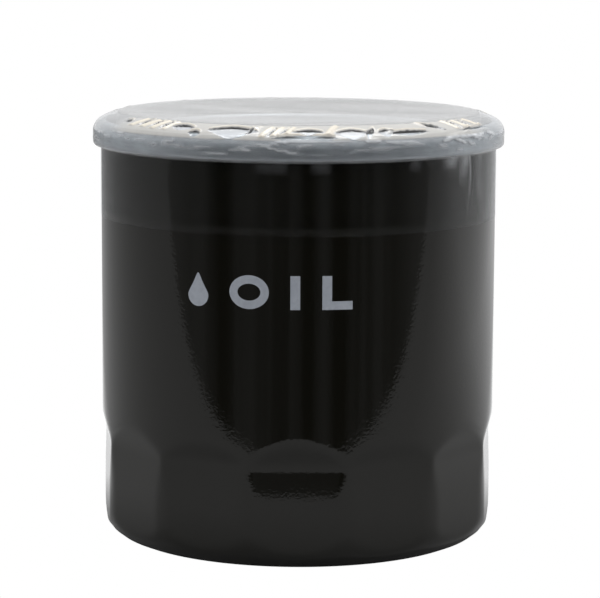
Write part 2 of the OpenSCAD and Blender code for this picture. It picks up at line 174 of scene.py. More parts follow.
def ring_mesh(name, rows, material, closed=True):
    """A surface from rows of points round Z, each row an array (columns, 3). closed joins the last row to the
    first, as on a ring with a solid section. A row whose points all meet becomes one point."""
    rows = [np.asarray(row) for row in rows]
    columns = len(rows[0])
    vertices, uvs, starts = [], [], []
    length = 0.0
    for k, row in enumerate(rows):
        if k:
            length += float(np.linalg.norm(row[0] - rows[k - 1][0]))
        pole = np.ptp(row, axis=0).max() < 1e-9
        starts.append((len(vertices), pole))
        around = np.linspace(0, TAU, columns, endpoint=False) * CAN_R
        for c, point in enumerate(row[:1] if pole else row):
            vertices.append(point)
            uvs.append((around[c], length))
    faces = []
    pairs = range(len(rows)) if closed else range(len(rows) - 1)
    for k in pairs:
        (a, pole_a), (b, pole_b) = starts[k], starts[(k + 1) % len(rows)]
        for c in range(columns):
            d = (c + 1) % columns
            if pole_a and pole_b:
                continue
            if pole_a:
                faces.append((a, b + c, b + d))
            elif pole_b:
                faces.append((a + c, b, a + d))
            else:
                faces.append((a + c, b + c, b + d, a + d))
    return make_object(name, vertices, faces, material, uvs)


def rounded(points, step, closed=False):
    """An outline through (radius, height, fillet) corners, with round corners and no gap longer than step."""
    count = len(points)
    smooth = []
    for i, (x, z, fillet) in enumerate(points):
        here = np.array([x, z])
        if fillet == 0 or (not closed and i in (0, count - 1)):
            smooth.append(here)
            continue
        before = np.array(points[i - 1][:2]) - here
        after = np.array(points[(i + 1) % count][:2]) - here
        room = min(np.linalg.norm(before), np.linalg.norm(after)) * 0.49
        before /= np.linalg.norm(before)
        after /= np.linalg.norm(after)
        half = math.acos(float(np.clip(before @ after, -1, 1))) / 2
        if half > math.radians(89):
            smooth.append(here)
            continue
        back = min(fillet / math.tan(half), room)
        fillet = back * math.tan(half)
        middle = before + after
        middle = here + middle / np.linalg.norm(middle) * fillet / math.sin(half)
        start, end = here + before * back - middle, here + after * back - middle
        turn = math.atan2(start[0] * end[1] - start[1] * end[0], float(start @ end))
        for k in range(7):
            a = turn * k / 6
            smooth.append(middle + [start[0] * math.cos(a) - start[1] * math.sin(a),
                                    start[0] * math.sin(a) + start[1] * math.cos(a)])
    filled = []
    for i, here in enumerate(smooth):
        filled.append(here)
        if i == len(smooth) - 1 and not closed:
            break
        there = smooth[(i + 1) % len(smooth)]
        cuts = int(np.linalg.norm(there - here) / step)
        filled += [here + (there - here) * k / (cuts + 1) for k in range(1, cuts + 1)]
    return np.array(filled)


def beside(path, distance):
    """The path moved sideways, to the left of its direction."""
    ahead = np.gradient(path, axis=0)
    ahead /= np.linalg.norm(ahead, axis=1)[:, None]
    return path + distance * np.stack([-ahead[:, 1], ahead[:, 0]], axis=1)


def turned(outline, angles):
    """Rows of points for ring_mesh: each outline point (radius, height) carried round Z."""
    return [np.stack([r * np.cos(angles), r * np.sin(angles), np.full(len(angles), z)], axis=1)
            for r, z in outline]


def even_angles(columns):
    """Angles evenly spread round Z."""
    return np.linspace(0, TAU, columns, endpoint=False)


def soft_step(x):
    """0 below 0 and 1 above 1, with a smooth rise between."""
    x = np.clip(x, 0, 1)
    return x * x * (3 - 2 * x)


def soft_min(a, b, width):
    """The smaller of two values, rounded where they come within width of each other."""
    h = np.clip(0.5 + 0.5 * (b - a) / width, 0, 1)
    return b + (a - b) * h - width * h * (1 - h)


def grown(name, tree, sizes, material):
    """Runs a Geometry Nodes tree with its named sizes, and returns the result as a plain object."""
    host = bpy.data.objects.new(name, bpy.data.meshes.new(name))
    bpy.context.scene.collection.objects.link(host)
    modifier = host.modifiers.new("Grow", "NODES")
    modifier.node_group = tree
    for item in tree.interface.items_tree:
        if item.in_out == "INPUT" and item.name in sizes:
            modifier[item.identifier] = sizes[item.name]
    view = bpy.context.evaluated_depsgraph_get()
    mesh = bpy.data.meshes.new_from_object(host.evaluated_get(view))
    host.modifiers.remove(modifier)
    host.data = mesh
    if material.name not in mesh.materials:
        mesh.materials.clear()
        mesh.materials.append(material)
    for polygon in mesh.polygons:
        polygon.use_smooth = True
    return host


# ---------------------------------------------------------------- materials

def powder_coat():
    """Polyester powder coat, sprayed and baked: deep black and glossy, with soft orange-peel dimples."""
    material, tree = new_material("black_powder_coat")
    where = add_node(tree, "ShaderNodeTexCoord").outputs["Object"]
    peel = add_node(tree, "ShaderNodeTexNoise",
        {"Vector": where, "Scale": 1700, "Detail": 1.5, "Roughness": 0.45})
    swell = add_node(tree, "ShaderNodeTexNoise", {"Vector": where, "Scale": 260, "Detail": 1})
    height = add_node(tree, "ShaderNodeMath", {0: swell.outputs["Fac"], 1: 0.5, 2: peel.outputs["Fac"]},
                      operation="MULTIPLY_ADD")
    bump = add_node(tree, "ShaderNodeBump",
        {"Strength": 0.75, "Distance": 0.013 * MM, "Height": height.outputs[0]})
    rough = add_node(tree, "ShaderNodeMapRange",
        {"Value": swell.outputs["Fac"], "From Min": 0.3, "From Max": 0.7,
                                                  "To Min": 0.05, "To Max": 0.08})
    shader = add_node(tree, "ShaderNodeBsdfPrincipled", {
        "Base Color": srgb("#161510"), "Roughness": rough.outputs[0], "IOR": 1.5, "Normal": bump.outputs[0]})
    return finish_material(material, shader)


def plated_sheet():
    """Electro-galvanised steel sheet, rolled and seamed: blue-grey, satin, streaked along the rolling."""
    material, tree = new_material("galvanised_steel_sheet")
    along = add_node(tree, "ShaderNodeUVMap", uv_map="surface").outputs["UV"]
    stretched = add_node(tree, "ShaderNodeMapping", {"Vector": along, "Scale": (60, 1800, 1)})
    streaks = add_node(tree, "ShaderNodeTexNoise", {"Vector": stretched.outputs[0], "Scale": 1, "Detail": 4})
    where = add_node(tree, "ShaderNodeTexCoord").outputs["Object"]
    spangle = add_node(tree, "ShaderNodeTexNoise", {"Vector": where, "Scale": 420, "Detail": 3})
    tone = add_node(tree, "ShaderNodeMix", {"Factor": spangle.outputs["Fac"], "A": srgb("#A0A7AD"),
                                            "B": srgb("#C2C8CD")}, data_type="RGBA")
    rough = add_node(tree, "ShaderNodeMapRange", {"Value": streaks.outputs["Fac"], "From Min": 0.25,
                                                  "From Max": 0.75, "To Min": 0.42, "To Max": 0.58})
    bump = add_node(tree, "ShaderNodeBump", {"Strength": 0.25, "Distance": 0.02 * MM,
                                             "Height": streaks.outputs["Fac"]})
    shader = add_node(tree, "ShaderNodeBsdfPrincipled", {
        "Base Color": tone.outputs["Result"], "Metallic": 1.0, "Roughness": rough.outputs[0],
        "Normal": bump.outputs[0]})
    return finish_material(material, shader)


def stamped_steel(name, low, high, rough_low, rough_high):
    """Bare or tinned steel pressing: metal with faint mottling and fine scratches left by the tools."""
    material, tree = new_material(name)
    where = add_node(tree, "ShaderNodeTexCoord").outputs["Object"]
    mottle = add_node(tree, "ShaderNodeTexNoise",
        {"Vector": where, "Scale": 240, "Detail": 5, "Roughness": 0.6})
    grit = add_node(tree, "ShaderNodeTexNoise", {"Vector": where, "Scale": 2600, "Detail": 2})
    tone = add_node(tree, "ShaderNodeMix", {"Factor": mottle.outputs["Fac"], "A": srgb(low), "B": srgb(high)},
                    data_type="RGBA")
    rough = add_node(tree, "ShaderNodeMapRange",
        {"Value": mottle.outputs["Fac"], "From Min": 0.3, "From Max": 0.7,
                                                  "To Min": rough_low, "To Max": rough_high})
    bump = add_node(tree, "ShaderNodeBump",
        {"Strength": 0.2, "Distance": 0.015 * MM, "Height": grit.outputs["Fac"]})
    shader = add_node(tree, "ShaderNodeBsdfPrincipled", {
        "Base Color": tone.outputs["Result"], "Metallic": 1.0, "Roughness": rough.outputs[0],
        "Normal": bump.outputs[0]})
    return finish_material(material, shader)


def moulded_rubber(name, colour, rough_low, rough_high):
    """Nitrile rubber, moulded: near black, with a fine grain and a little bloom and oil on the skin."""
    material, tree = new_material(name)
    where = add_node(tree, "ShaderNodeTexCoord").outputs["Object"]
    bloom = add_node(tree, "ShaderNodeTexNoise", {"Vector": where, "Scale": 180, "Detail": 4})
    grain = add_node(tree, "ShaderNodeTexNoise", {"Vector": where, "Scale": 3000, "Detail": 2})
    rough = add_node(tree, "ShaderNodeMapRange",
        {"Value": bloom.outputs["Fac"], "From Min": 0.35, "From Max": 0.65,
                                                  "To Min": rough_low, "To Max": rough_high})
    bump = add_node(tree, "ShaderNodeBump",
        {"Strength": 0.3, "Distance": 0.02 * MM, "Height": grain.outputs["Fac"]})
    shader = add_node(tree, "ShaderNodeBsdfPrincipled", {
        "Base Color": srgb(colour), "Roughness": rough.outputs[0], "IOR": 1.52, "Normal": bump.outputs[0]})
    return finish_material(material, shader)


def filter_paper():
    """Resin-cured cellulose paper: tan, matt and fibrous, with the fine ribs that hold the pleats apart."""
    material, tree = new_material("resin_cured_filter_paper")
    where = add_node(tree, "ShaderNodeTexCoord").outputs["Object"]
    fibres = add_node(tree, "ShaderNodeTexNoise",
        {"Vector": where, "Scale": 1500, "Detail": 6, "Roughness": 0.7})
    ribs = add_node(tree, "ShaderNodeTexWave", {"Vector": where, "Scale": 180, "Distortion": 0.4},
                    bands_direction="Z")
    tone = add_node(tree, "ShaderNodeMix", {"Factor": fibres.outputs["Fac"], "A": srgb("#A9742F"),
                                            "B": srgb("#D2A25C")}, data_type="RGBA")
    height = add_node(tree, "ShaderNodeMath", {0: ribs.outputs["Fac"], 1: 0.6, 2: fibres.outputs["Fac"]},
                      operation="MULTIPLY_ADD")
    bump = add_node(tree, "ShaderNodeBump",
        {"Strength": 0.5, "Distance": 0.06 * MM, "Height": height.outputs[0]})
    shader = add_node(tree, "ShaderNodeBsdfPrincipled", {
        "Base Color": tone.outputs["Result"], "Roughness": 0.85, "Normal": bump.outputs[0]})
    return finish_material(material, shader)


def set_adhesive(name, colour):
    """Plastisol or sealing compound, poured and cured: dull, slightly lumpy and a little translucent."""
    material, tree = new_material(name)
    where = add_node(tree, "ShaderNodeTexCoord").outputs["Object"]
    lumps = add_node(tree, "ShaderNodeTexNoise", {"Vector": where, "Scale": 500, "Detail": 3})
    bump = add_node(tree, "ShaderNodeBump",
        {"Strength": 0.4, "Distance": 0.1 * MM, "Height": lumps.outputs["Fac"]})
    shader = add_node(tree, "ShaderNodeBsdfPrincipled", {
        "Base Color": srgb(colour), "Roughness": 0.5, "Subsurface Weight": 0.1, "Subsurface Scale": 0.3 * MM,
        "Normal": bump.outputs[0]})
    return finish_material(material, shader)


def print_ink():
    """Pad-printed ink on gloss paint: pale blue-grey, semi-matt, a little thin where the pad lifted."""
    material, tree = new_material("pad_printed_ink")
    where = add_node(tree, "ShaderNodeTexCoord").outputs["Object"]
    thin = add_node(tree, "ShaderNodeTexNoise",
        {"Vector": where, "Scale": 1100, "Detail": 4, "Roughness": 0.6})
    tone = add_node(tree, "ShaderNodeMix", {"Factor": thin.outputs["Fac"], "A": srgb("#A9AFBA"),
                                            "B": srgb("#CDD3DC")}, data_type="RGBA")
    bump = add_node(tree, "ShaderNodeBump",
        {"Strength": 0.2, "Distance": 0.01 * MM, "Height": thin.outputs["Fac"]})
    shader = add_node(tree, "ShaderNodeBsdfPrincipled", {
        "Base Color": tone.outputs["Result"], "Roughness": 0.42, "Normal": bump.outputs[0]})
    return finish_material(material, shader)


def shrink_film():
    """Polyolefin shrink film, 0.1 mm: clear and glossy, milky where it is creased or stretched.
    The film's points say how milky and how yellow each place is, and where it clings to the paint. There it
    has hardly a shine of its own. The milkiness also holds painted highlights: whiter on the folds' ridges and
    crests, on the seam's wrinkles, along the seam's top and bottom edges and in the streaks under the seam."""
    material, tree = new_material("clear_shrink_film")
    haze_and_highlight, cream, cling = [add_node(tree, "ShaderNodeAttribute", attribute_name=name).outputs["Fac"]
                          for name in ("haze_and_highlight", "cream", "cling")]
    where = add_node(tree, "ShaderNodeTexCoord").outputs["Object"]
    along = add_node(tree, "ShaderNodeUVMap", uv_map="surface").outputs["UV"]
    stretched = add_node(tree, "ShaderNodeMapping", {"Vector": along, "Scale": (110, 700, 1)})
    pull = add_node(tree, "ShaderNodeTexNoise", {"Vector": stretched.outputs[0], "Scale": 1, "Detail": 3})
    slack = add_node(tree, "ShaderNodeTexNoise",
        {"Vector": where, "Scale": 70, "Detail": 3, "Roughness": 0.5})
    height = add_node(tree, "ShaderNodeMath", {0: pull.outputs["Fac"], 1: 0.35, 2: slack.outputs["Fac"]},
                      operation="MULTIPLY_ADD")
    bump = add_node(tree, "ShaderNodeBump",
        {"Strength": 0.5, "Distance": 0.2 * MM, "Height": height.outputs[0]})
    tint = add_node(tree, "ShaderNodeMix", {"Factor": cream, "A": srgb("#E6E9ED"), "B": srgb("#E2DACB")},
                    data_type="RGBA")
    milky = add_node(tree, "ShaderNodeBsdfPrincipled", {
        "Base Color": tint.outputs["Result"], "Roughness": 0.45, "Normal": bump.outputs[0]})
    clear = add_node(tree, "ShaderNodeBsdfTransparent", {"Color": (0.985, 0.988, 0.99, 1)})
    body = add_node(tree, "ShaderNodeMixShader", {0: haze_and_highlight, 1: clear.outputs[0], 2: milky.outputs[0]})
    edge_on = add_node(tree, "ShaderNodeLayerWeight",
        {"Blend": 0.5, "Normal": bump.outputs[0]}).outputs["Facing"]
    steep = add_node(tree, "ShaderNodeMath", {0: edge_on, 1: 5.0}, operation="POWER")
    mirror = add_node(tree, "ShaderNodeMath", {0: steep.outputs[0], 1: 0.7, 2: 0.04},
        operation="MULTIPLY_ADD")
    free = add_node(tree, "ShaderNodeMapRange", {"Value": cling, "To Min": 1.0, "To Max": 0.1})
    shine = add_node(tree, "ShaderNodeMath", {0: mirror.outputs[0], 1: free.outputs[0]}, operation="MULTIPLY")
    gloss = add_node(tree, "ShaderNodeBsdfAnisotropic", {"Color": (0.89, 0.89, 0.89, 1), "Roughness": 0.12,
                                                         "Normal": bump.outputs[0]})
    shader = add_node(tree, "ShaderNodeMixShader",
        {0: shine.outputs[0], 1: body.outputs[0], 2: gloss.outputs[0]})
    return finish_material(material, shader)


# ---------------------------------------------------------------- can

FLUTE_START = 27 * MM        # the round wall begins to flatten here
FLUTE_FULL = 19.1 * MM       # the flats are at full depth here
FLUTE_LEAN = 0.042           # the flats lean outwards at this slope below that height
FLUTE_FLARE = 0.29 * MM      # until they are this far out, and stand upright from there
FLUTE_SOFT = 0.22 * MM       # rounding of the edges between flats
FLUTE_DEPTH = 1.0            # pressed depth of the flats, with 1 for a full chord from edge to edge
CORNER_R = 5.8 * MM
PANEL_RISE = 1.2 * MM
FOOT_RING_W = 10.2 * MM
PANEL_SLOPE_W = 2.5 * MM


def pressed_flats(radius, height, angles, inset):
    """The radius of the can's wall at a height, for all angles, once the wrench flats are pressed in."""
    pitch = TAU / FLUTES
    off_centre = (angles + TAU / 4 + pitch / 2) % pitch - pitch / 2
    depth = CAN_R * (1 - math.cos(pitch / 2)) * FLUTE_DEPTH
    pressed = soft_step((FLUTE_START - height) / (FLUTE_START - FLUTE_FULL)) ** 1.5
    lean = max(0.0, float(soft_min(FLUTE_LEAN * max(0.0, FLUTE_FULL - height), FLUTE_FLARE, 0.12 * MM)))
    flat = CAN_R + FLUTE_SOFT - (depth + FLUTE_SOFT) * pressed + lean - inset
    return soft_min(np.full(len(angles), radius), flat / np.cos(off_centre), FLUTE_SOFT)


def make_can(paint):
    """The drawn shell: closed end, fluted foot, wall, and the hook that is folded into the seam."""
    hook_gap = 2 * SHEET_GAP + LID_T
    hook_top = SEAM_TOP - LID_T - SHEET_GAP - CAN_T - 1.0 * MM
    panel_r = CAN_R - CORNER_R - FOOT_RING_W
    foot = rounded([
        (0, PANEL_RISE, 0), (panel_r, PANEL_RISE, 1.5 * MM), (panel_r + PANEL_SLOPE_W, 0, 1.5 * MM),
        (CAN_R, 0, CORNER_R), (CAN_R, FLUTE_START, 0)], 0.9 * MM)
    wall = rounded([
        (CAN_R, FLUTE_START + 2 * MM, 0), (CAN_R, hook_top, hook_gap * 0.49),
        (CAN_R + hook_gap, hook_top, hook_gap * 0.49), (CAN_R + hook_gap, SEAM_BOTTOM + 1.1 * MM, 0)], 5 * MM)
    path = np.concatenate([foot, wall])
    inner = beside(path, CAN_T)
    inner[:, 0] = np.maximum(inner[:, 0], 0)
    angles = even_angles(FLUTES * 32)
    rows = []
    for outline, inset in ((path, 0), (inner[::-1], CAN_T)):
        for r, z in outline:
            radii = np.full(len(angles), r)
            if r > 0 and z < FLUTE_START:
                radii = pressed_flats(r, z, angles, inset)
            rows.append(np.stack([radii * np.cos(angles), radii * np.sin(angles), np.full(len(angles), z)],
                axis=1))
    can = ring_mesh("can_shell_painted", rows, paint, closed=False)
    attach(can, "can")
    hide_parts("can_shell")
    return can


# ---------------------------------------------------------------- printed mark

MARK_TURN = math.radians(-8.7)      # from the front, round the can
MARK_Z = 52.0 * MM
MARK_H = 6.2 * MM
STROKE = 1.55 * MM
INK_T = 0.03 * MM


def oval(x, y, rx, ry, count=40):
    """An ellipse's outline."""
    return [(x + rx * math.cos(TAU * k / count), y + ry * math.sin(TAU * k / count)) for k in range(count)]


def oil_drop(x, height):
    """The outline of a falling drop: a round foot that narrows to a point at the top."""
    r = height * 0.34
    points = []
    for k in range(48):
        a = TAU * k / 48
        pinch = max(0.0, math.sin(a)) ** 2
        points.append((x + r * math.cos(a) * (1 - 0.55 * pinch),
                       r - height / 2 + r * math.sin(a) + (height - 2 * r) * pinch ** 1.6))
    return points


def box_outline(x0, y0, x1, y1):
    """A rectangle's outline."""
    return [(x0, y0), (x1, y0), (x1, y1), (x0, y1)]


def make_mark(ink):
    """A generic mark, an oil drop and the word OIL, wrapped round the can where the maker prints one."""
    half = MARK_H / 2
    letter_w = 7.4 * MM
    outlines = [oil_drop(-13.2 * MM, MARK_H)]
    outlines += [oval(-3.2 * MM, 0, letter_w / 2, half),
        oval(-3.2 * MM, 0, letter_w / 2 - STROKE, half - STROKE)]
    outlines += [box_outline(4.4 * MM, -half, 4.4 * MM + STROKE * 1.15, half)]
    left = 10.2 * MM
    right = left + 5.6 * MM
    outlines += [[(left, -half), (right, -half), (right, STROKE - half),
        (left + STROKE * 1.15, STROKE - half),
                  (left + STROKE * 1.15, half), (left, half)]]
    flat = bpy.data.curves.new("mark_outline", "CURVE")
    flat.dimensions = "2D"
    flat.fill_mode = "BOTH"
    flat.extrude = INK_T / 2
    for outline in outlines:
        spline = flat.splines.new("POLY")
        spline.points.add(len(outline) - 1)
        spline.use_cyclic_u = True
        for point, (x, y) in zip(spline.points, outline):
            point.co = (x, y, 0, 1)
    carrier = bpy.data.objects.new("mark_carrier", flat)
    bpy.context.scene.collection.objects.link(carrier)
    mesh = bpy.data.meshes.new_from_object(carrier.evaluated_get(bpy.context.evaluated_depsgraph_get()))
    bpy.data.objects.remove(carrier)
    cage = bmesh.new()
    cage.from_mesh(mesh)
    bmesh.ops.remove_doubles(cage, verts=cage.verts, dist=1e-6)
    for k in range(-18, 19):
        everything = list(cage.verts) + list(cage.edges) + list(cage.faces)
        bmesh.ops.bisect_plane(cage, geom=everything, plane_co=(k * MM, 0, 0), plane_no=(1, 0, 0))
    for vertex in cage.verts:
        across, up, lift = vertex.co
        turn = MARK_TURN + across / CAN_R
        reach = CAN_R + INK_T / 2 + 0.004 * MM + lift
        vertex.co = (reach * math.sin(turn), -reach * math.cos(turn), MARK_Z + up)
    bmesh.ops.recalc_face_normals(cage, faces=cage.faces)
    cage.to_mesh(mesh)
    cage.free()
    mesh.materials.clear()
    mesh.materials.append(ink)
    mark = bpy.data.objects.new("printed_mark", mesh)
    bpy.context.scene.collection.objects.link(mark)
    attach(mark, "can")
    return mark


# ---------------------------------------------------------------- seaming lid, gasket and base plate

LID_FLANGE_R = 25.6 * MM
BEAD_R = GASKET_R - 4.2 * MM - 0.3 * MM
BEAD_W = 1.5 * MM
BEAD_H = 2.4 * MM
WELDS = 8
INLETS = 8
INLET_R = 3.1 * MM
NECK_R = 11.4 * MM
THREAD_MINOR = 8.75 * MM
THREAD_MAJOR = 9.525 * MM
THREAD_PITCH = 25.4 / 16 * MM
PLATE_T = 2.8 * MM


def make_lid(metal):
    """The seaming lid: cover hook, seam, gasket channel, gasket bead and the flange welded to the plate."""
    half = LID_T / 2
    hook_x = CAN_R + SHEET_GAP + half
    wall_x = LID_R - half
    chuck_x = CAN_R - CAN_T - 2 * SHEET_GAP - half
    floor = LID_FLOOR - half
    bead_out, bead_in = BEAD_R - half, BEAD_R - BEAD_W + half
    bead_top = LID_FLOOR + BEAD_H - half
    turn = (wall_x - hook_x) / 2 * 0.98
    seam = SEAM_TOP - half
    path = rounded([
        (hook_x, SEAM_TOP - 1.5 * MM, 0), (hook_x, SEAM_BOTTOM + half, turn),
        (wall_x, SEAM_BOTTOM + half, turn),
        (wall_x, seam - 2.1 * MM, 3 * MM), (wall_x - 0.25 * MM, seam - 1.1 * MM, 3 * MM),
        (wall_x - 0.8 * MM, seam - 0.25 * MM, 2 * MM), (wall_x - 1.4 * MM, seam, 2 * MM),
        (chuck_x, seam, 0.65 * MM), (chuck_x, floor, 0.7 * MM),
        (bead_out, floor, 0.5 * MM), (bead_out, bead_top, 0.53 * MM), (bead_in, bead_top, 0.53 * MM),
        (bead_in, floor, 0.5 * MM), (LID_FLANGE_R, floor, 0)], 0.7 * MM)
    outline = np.concatenate([beside(path, half), beside(path, -half)[::-1]])
    angles = even_angles(320)
    rows = turned(outline, angles)
    weld_r = (LID_FLANGE_R + bead_in) / 2 - 0.2 * MM
    weld_angles = np.arange(WELDS) * TAU / WELDS
    for row in rows:
        inside = np.linalg.norm(row[:, :2], axis=1) < bead_in - 0.3 * MM
        if not inside.any():
            continue
        for a in weld_angles:
            away = np.hypot(row[:, 0] - weld_r * math.cos(a), row[:, 1] - weld_r * math.sin(a))
            row[:, 2] -= np.where(inside & (row[:, 2] > PLATE_TOP + 0.2 * MM),
                                  0.22 * MM * soft_step(1.35 - away / (1.5 * MM)), 0)
    lid = shade_by_angle(ring_mesh("seaming_lid_rolled", rows, metal))
    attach(lid, "can")
    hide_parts("seaming_lid")
    return lid


def make_gasket(rubber):
    """The flat-section gasket, with moulded round edges and a faint line down the middle of its face."""
    inner = GASKET_R - 4.2 * MM
    middle = (GASKET_R + inner) / 2
    outline = rounded([
        (inner, LID_FLOOR, 0.2 * MM), (GASKET_R, LID_FLOOR, 0.2 * MM), (GASKET_R, GASKET_TOP, 0.45 * MM),
        (middle + 0.5 * MM, GASKET_TOP, 0.1 * MM), (middle, GASKET_TOP - 0.12 * MM, 0.1 * MM),
        (middle - 0.5 * MM, GASKET_TOP, 0.1 * MM), (inner, GASKET_TOP, 0.45 * MM)], 1.0 * MM, closed=True)
    gasket = ring_mesh("gasket_moulded", turned(outline, even_angles(256)), rubber)
    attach(gasket, "can")
    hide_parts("gasket")
    return gasket


def hole_cutters(metal):
    """Cutters for the inlet holes, wider at the punch's side so that each hole has a rounded lip."""
    lip = 0.3 * MM
    bottom = PLATE_TOP - PLATE_T
    outline = rounded([
        (0, bottom - 1 * MM, 0), (INLET_R, bottom - 1 * MM, 0), (INLET_R, PLATE_TOP - lip, 0),
        (INLET_R + 0.1 * MM, PLATE_TOP - lip * 0.35, 0), (INLET_R + lip, PLATE_TOP, 0),
        (INLET_R + lip, PLATE_TOP + 1 * MM, 0), (0, PLATE_TOP + 1 * MM, 0)], 5 * MM)
    rows = turned(outline, even_angles(40))
    circle_r = (NECK_R + LID_FLANGE_R) / 2
    cutters = []
    for k in range(INLETS):
        a = (k + 0.5) * TAU / INLETS
        shift = np.array([circle_r * math.cos(a), circle_r * math.sin(a), 0])
        cutters.append(ring_mesh("inlet_cutter", [row + shift for row in rows], metal, closed=False))
    return cutters


def make_plate(metal):
    """The base plate with its threaded neck and punched inlet holes."""
    bottom = PLATE_TOP - PLATE_T
    lead = THREAD_MAJOR + 0.15 * MM
    outer = rounded([
        (lead, NECK_END, 0), (NECK_R, NECK_END, 0.3 * MM), (NECK_R, bottom, 1.5 * MM),
        (PLATE_R, bottom, 0.4 * MM), (PLATE_R, PLATE_TOP, 0.4 * MM), (lead, PLATE_TOP, 0)], 2.5 * MM)
    angles = even_angles(144)
    rows = turned(outer, angles)
    span = PLATE_TOP - NECK_END
    count = 84
    for k in range(1, count):
        z = PLATE_TOP - span * k / count
        phase = (z / THREAD_PITCH - angles / TAU) % 1
        groove = np.clip(1.25 * (1 - 2 * np.abs(phase - 0.5)) - 0.125, 0, 1)
        wall = THREAD_MINOR + (THREAD_MAJOR - THREAD_MINOR) * groove
        from_end = min(z - NECK_END, PLATE_TOP - z)
        wall = np.maximum(wall, lead - from_end * 1.3)
        rows.append(np.stack([wall * np.cos(angles), wall * np.sin(angles), np.full(len(angles), z)], axis=1))
    plate = ring_mesh("base_plate_threaded", rows, metal)
    for cutter in hole_cutters(metal):
        cut = plate.modifiers.new("Punch", "BOOLEAN")
        cut.object = cutter
        cut.solver = "EXACT"
    view = bpy.context.evaluated_depsgraph_get()
    mesh = bpy.data.meshes.new_from_object(plate.evaluated_get(view))
    plate.modifiers.clear()
    plate.data = mesh
    for thing in [o for o in bpy.data.objects if o.name.startswith("inlet_cutter")]:
        bpy.data.objects.remove(thing)
    shade_by_angle(plate, 30)
    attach(plate, "can")
    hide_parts("base_plate")
    return plate


# ---------------------------------------------------------------- shrink film

FILM_T = 0.09 * MM
FILM_R = radius_of("film_band")
FILM_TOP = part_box("film_top")[1].z
FILM_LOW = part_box("film_skirt")[0].z
EDGE_R = GASKET_R - 0.6 * MM        # where the film leaves the gasket
WALL_R = CAN_R + 0.15 * MM          # the film's outer face on the can's wall
TUCK_TURN = math.radians(57.5)       # where the film's spare width is folded over, from the front
FRONT = -TAU / 4                    # the angle of the front about Z

# The folds in front, where the film was gathered. Each is: degrees round from the front, half of its length
# round
# the film and its lean, in mm, where it begins and ends between the gasket's edge (0) and the seam (1), and
# its kind.
FRONT_FOLDS = (
    (-59.5, 1.0, 0.8, 0.35, 0.60, "gap"), (-54, 1.1, 2.5, 0.10, 0.75, "ridge"),
    (-51.3, 0.5, 2.6, 0.10, 0.72, "gap"),
    (-48.5, 1.1, 2.5, 0.10, 0.75, "ridge"), (-46, 0.45, 2.6, 0.12, 0.75, "gap"),
    (-44, 0.9, 2.5, 0.10, 0.8, "ridge"),
    (-41.7, 0.45, 2.4, 0.15, 0.8, "gap"), (-39.5, 0.6, 2.2, 0.15, 0.8, "ridge"),
    (-34.7, 2.6, 0.8, 0.35, 0.78, "window"),
    (-29.5, 1.3, 0.4, 0.74, 1.00, "gap"), (-18.7, 5.0, 0.2, 0.33, 1.02, "window"),
    (-14.2, 0.5, 6.0, 0.36, 0.95, "gap"),
    (-8.9, 0.6, 2.6, 0.30, 0.95, "ridge"), (-7.3, 0.3, 2.6, 0.40, 0.95, "gap"),
    (-5.8, 0.6, 2.6, 0.30, 0.9, "ridge"),
    (-4.1, 0.3, 2.6, 0.40, 0.9, "gap"), (-2.4, 0.6, 2.4, 0.30, 0.85, "ridge"),
    (2.0, 6.5, 0, 0.90, 1.04, "gap"),
    (2.6, 3.0, 0, 0.50, 0.90, "window"), (9.2, 0.8, 2.6, 0.15, 0.90, "ridge"),
    (14.6, 3.2, 0, 0.50, 1.02, "window"),
    (20.0, 0.8, 3.0, 0.44, 1.00, "gap"), (24.6, 1.7, 0, 0.56, 0.95, "window"),
    (31.5, 4.7, -0.3, 0.70, 0.92, "gap"),
    (42.0, 1.5, -7.0, 0.20, 0.80, "gap"), (49.5, 0.6, -1.8, 0.10, 0.80, "ridge"),
    (51.8, 0.3, -1.8, 0.15, 0.8, "gap"),
    (54.5, 0.7, -1.8, 0.15, 0.85, "ridge"), (57.5, 0.3, -1.8, 0.2, 0.8, "gap"),
    (61, 0.7, -1.8, 0.15, 0.80, "ridge"),
    (58, 6.5, 1.5, 0.83, 0.9, "gap"),
)

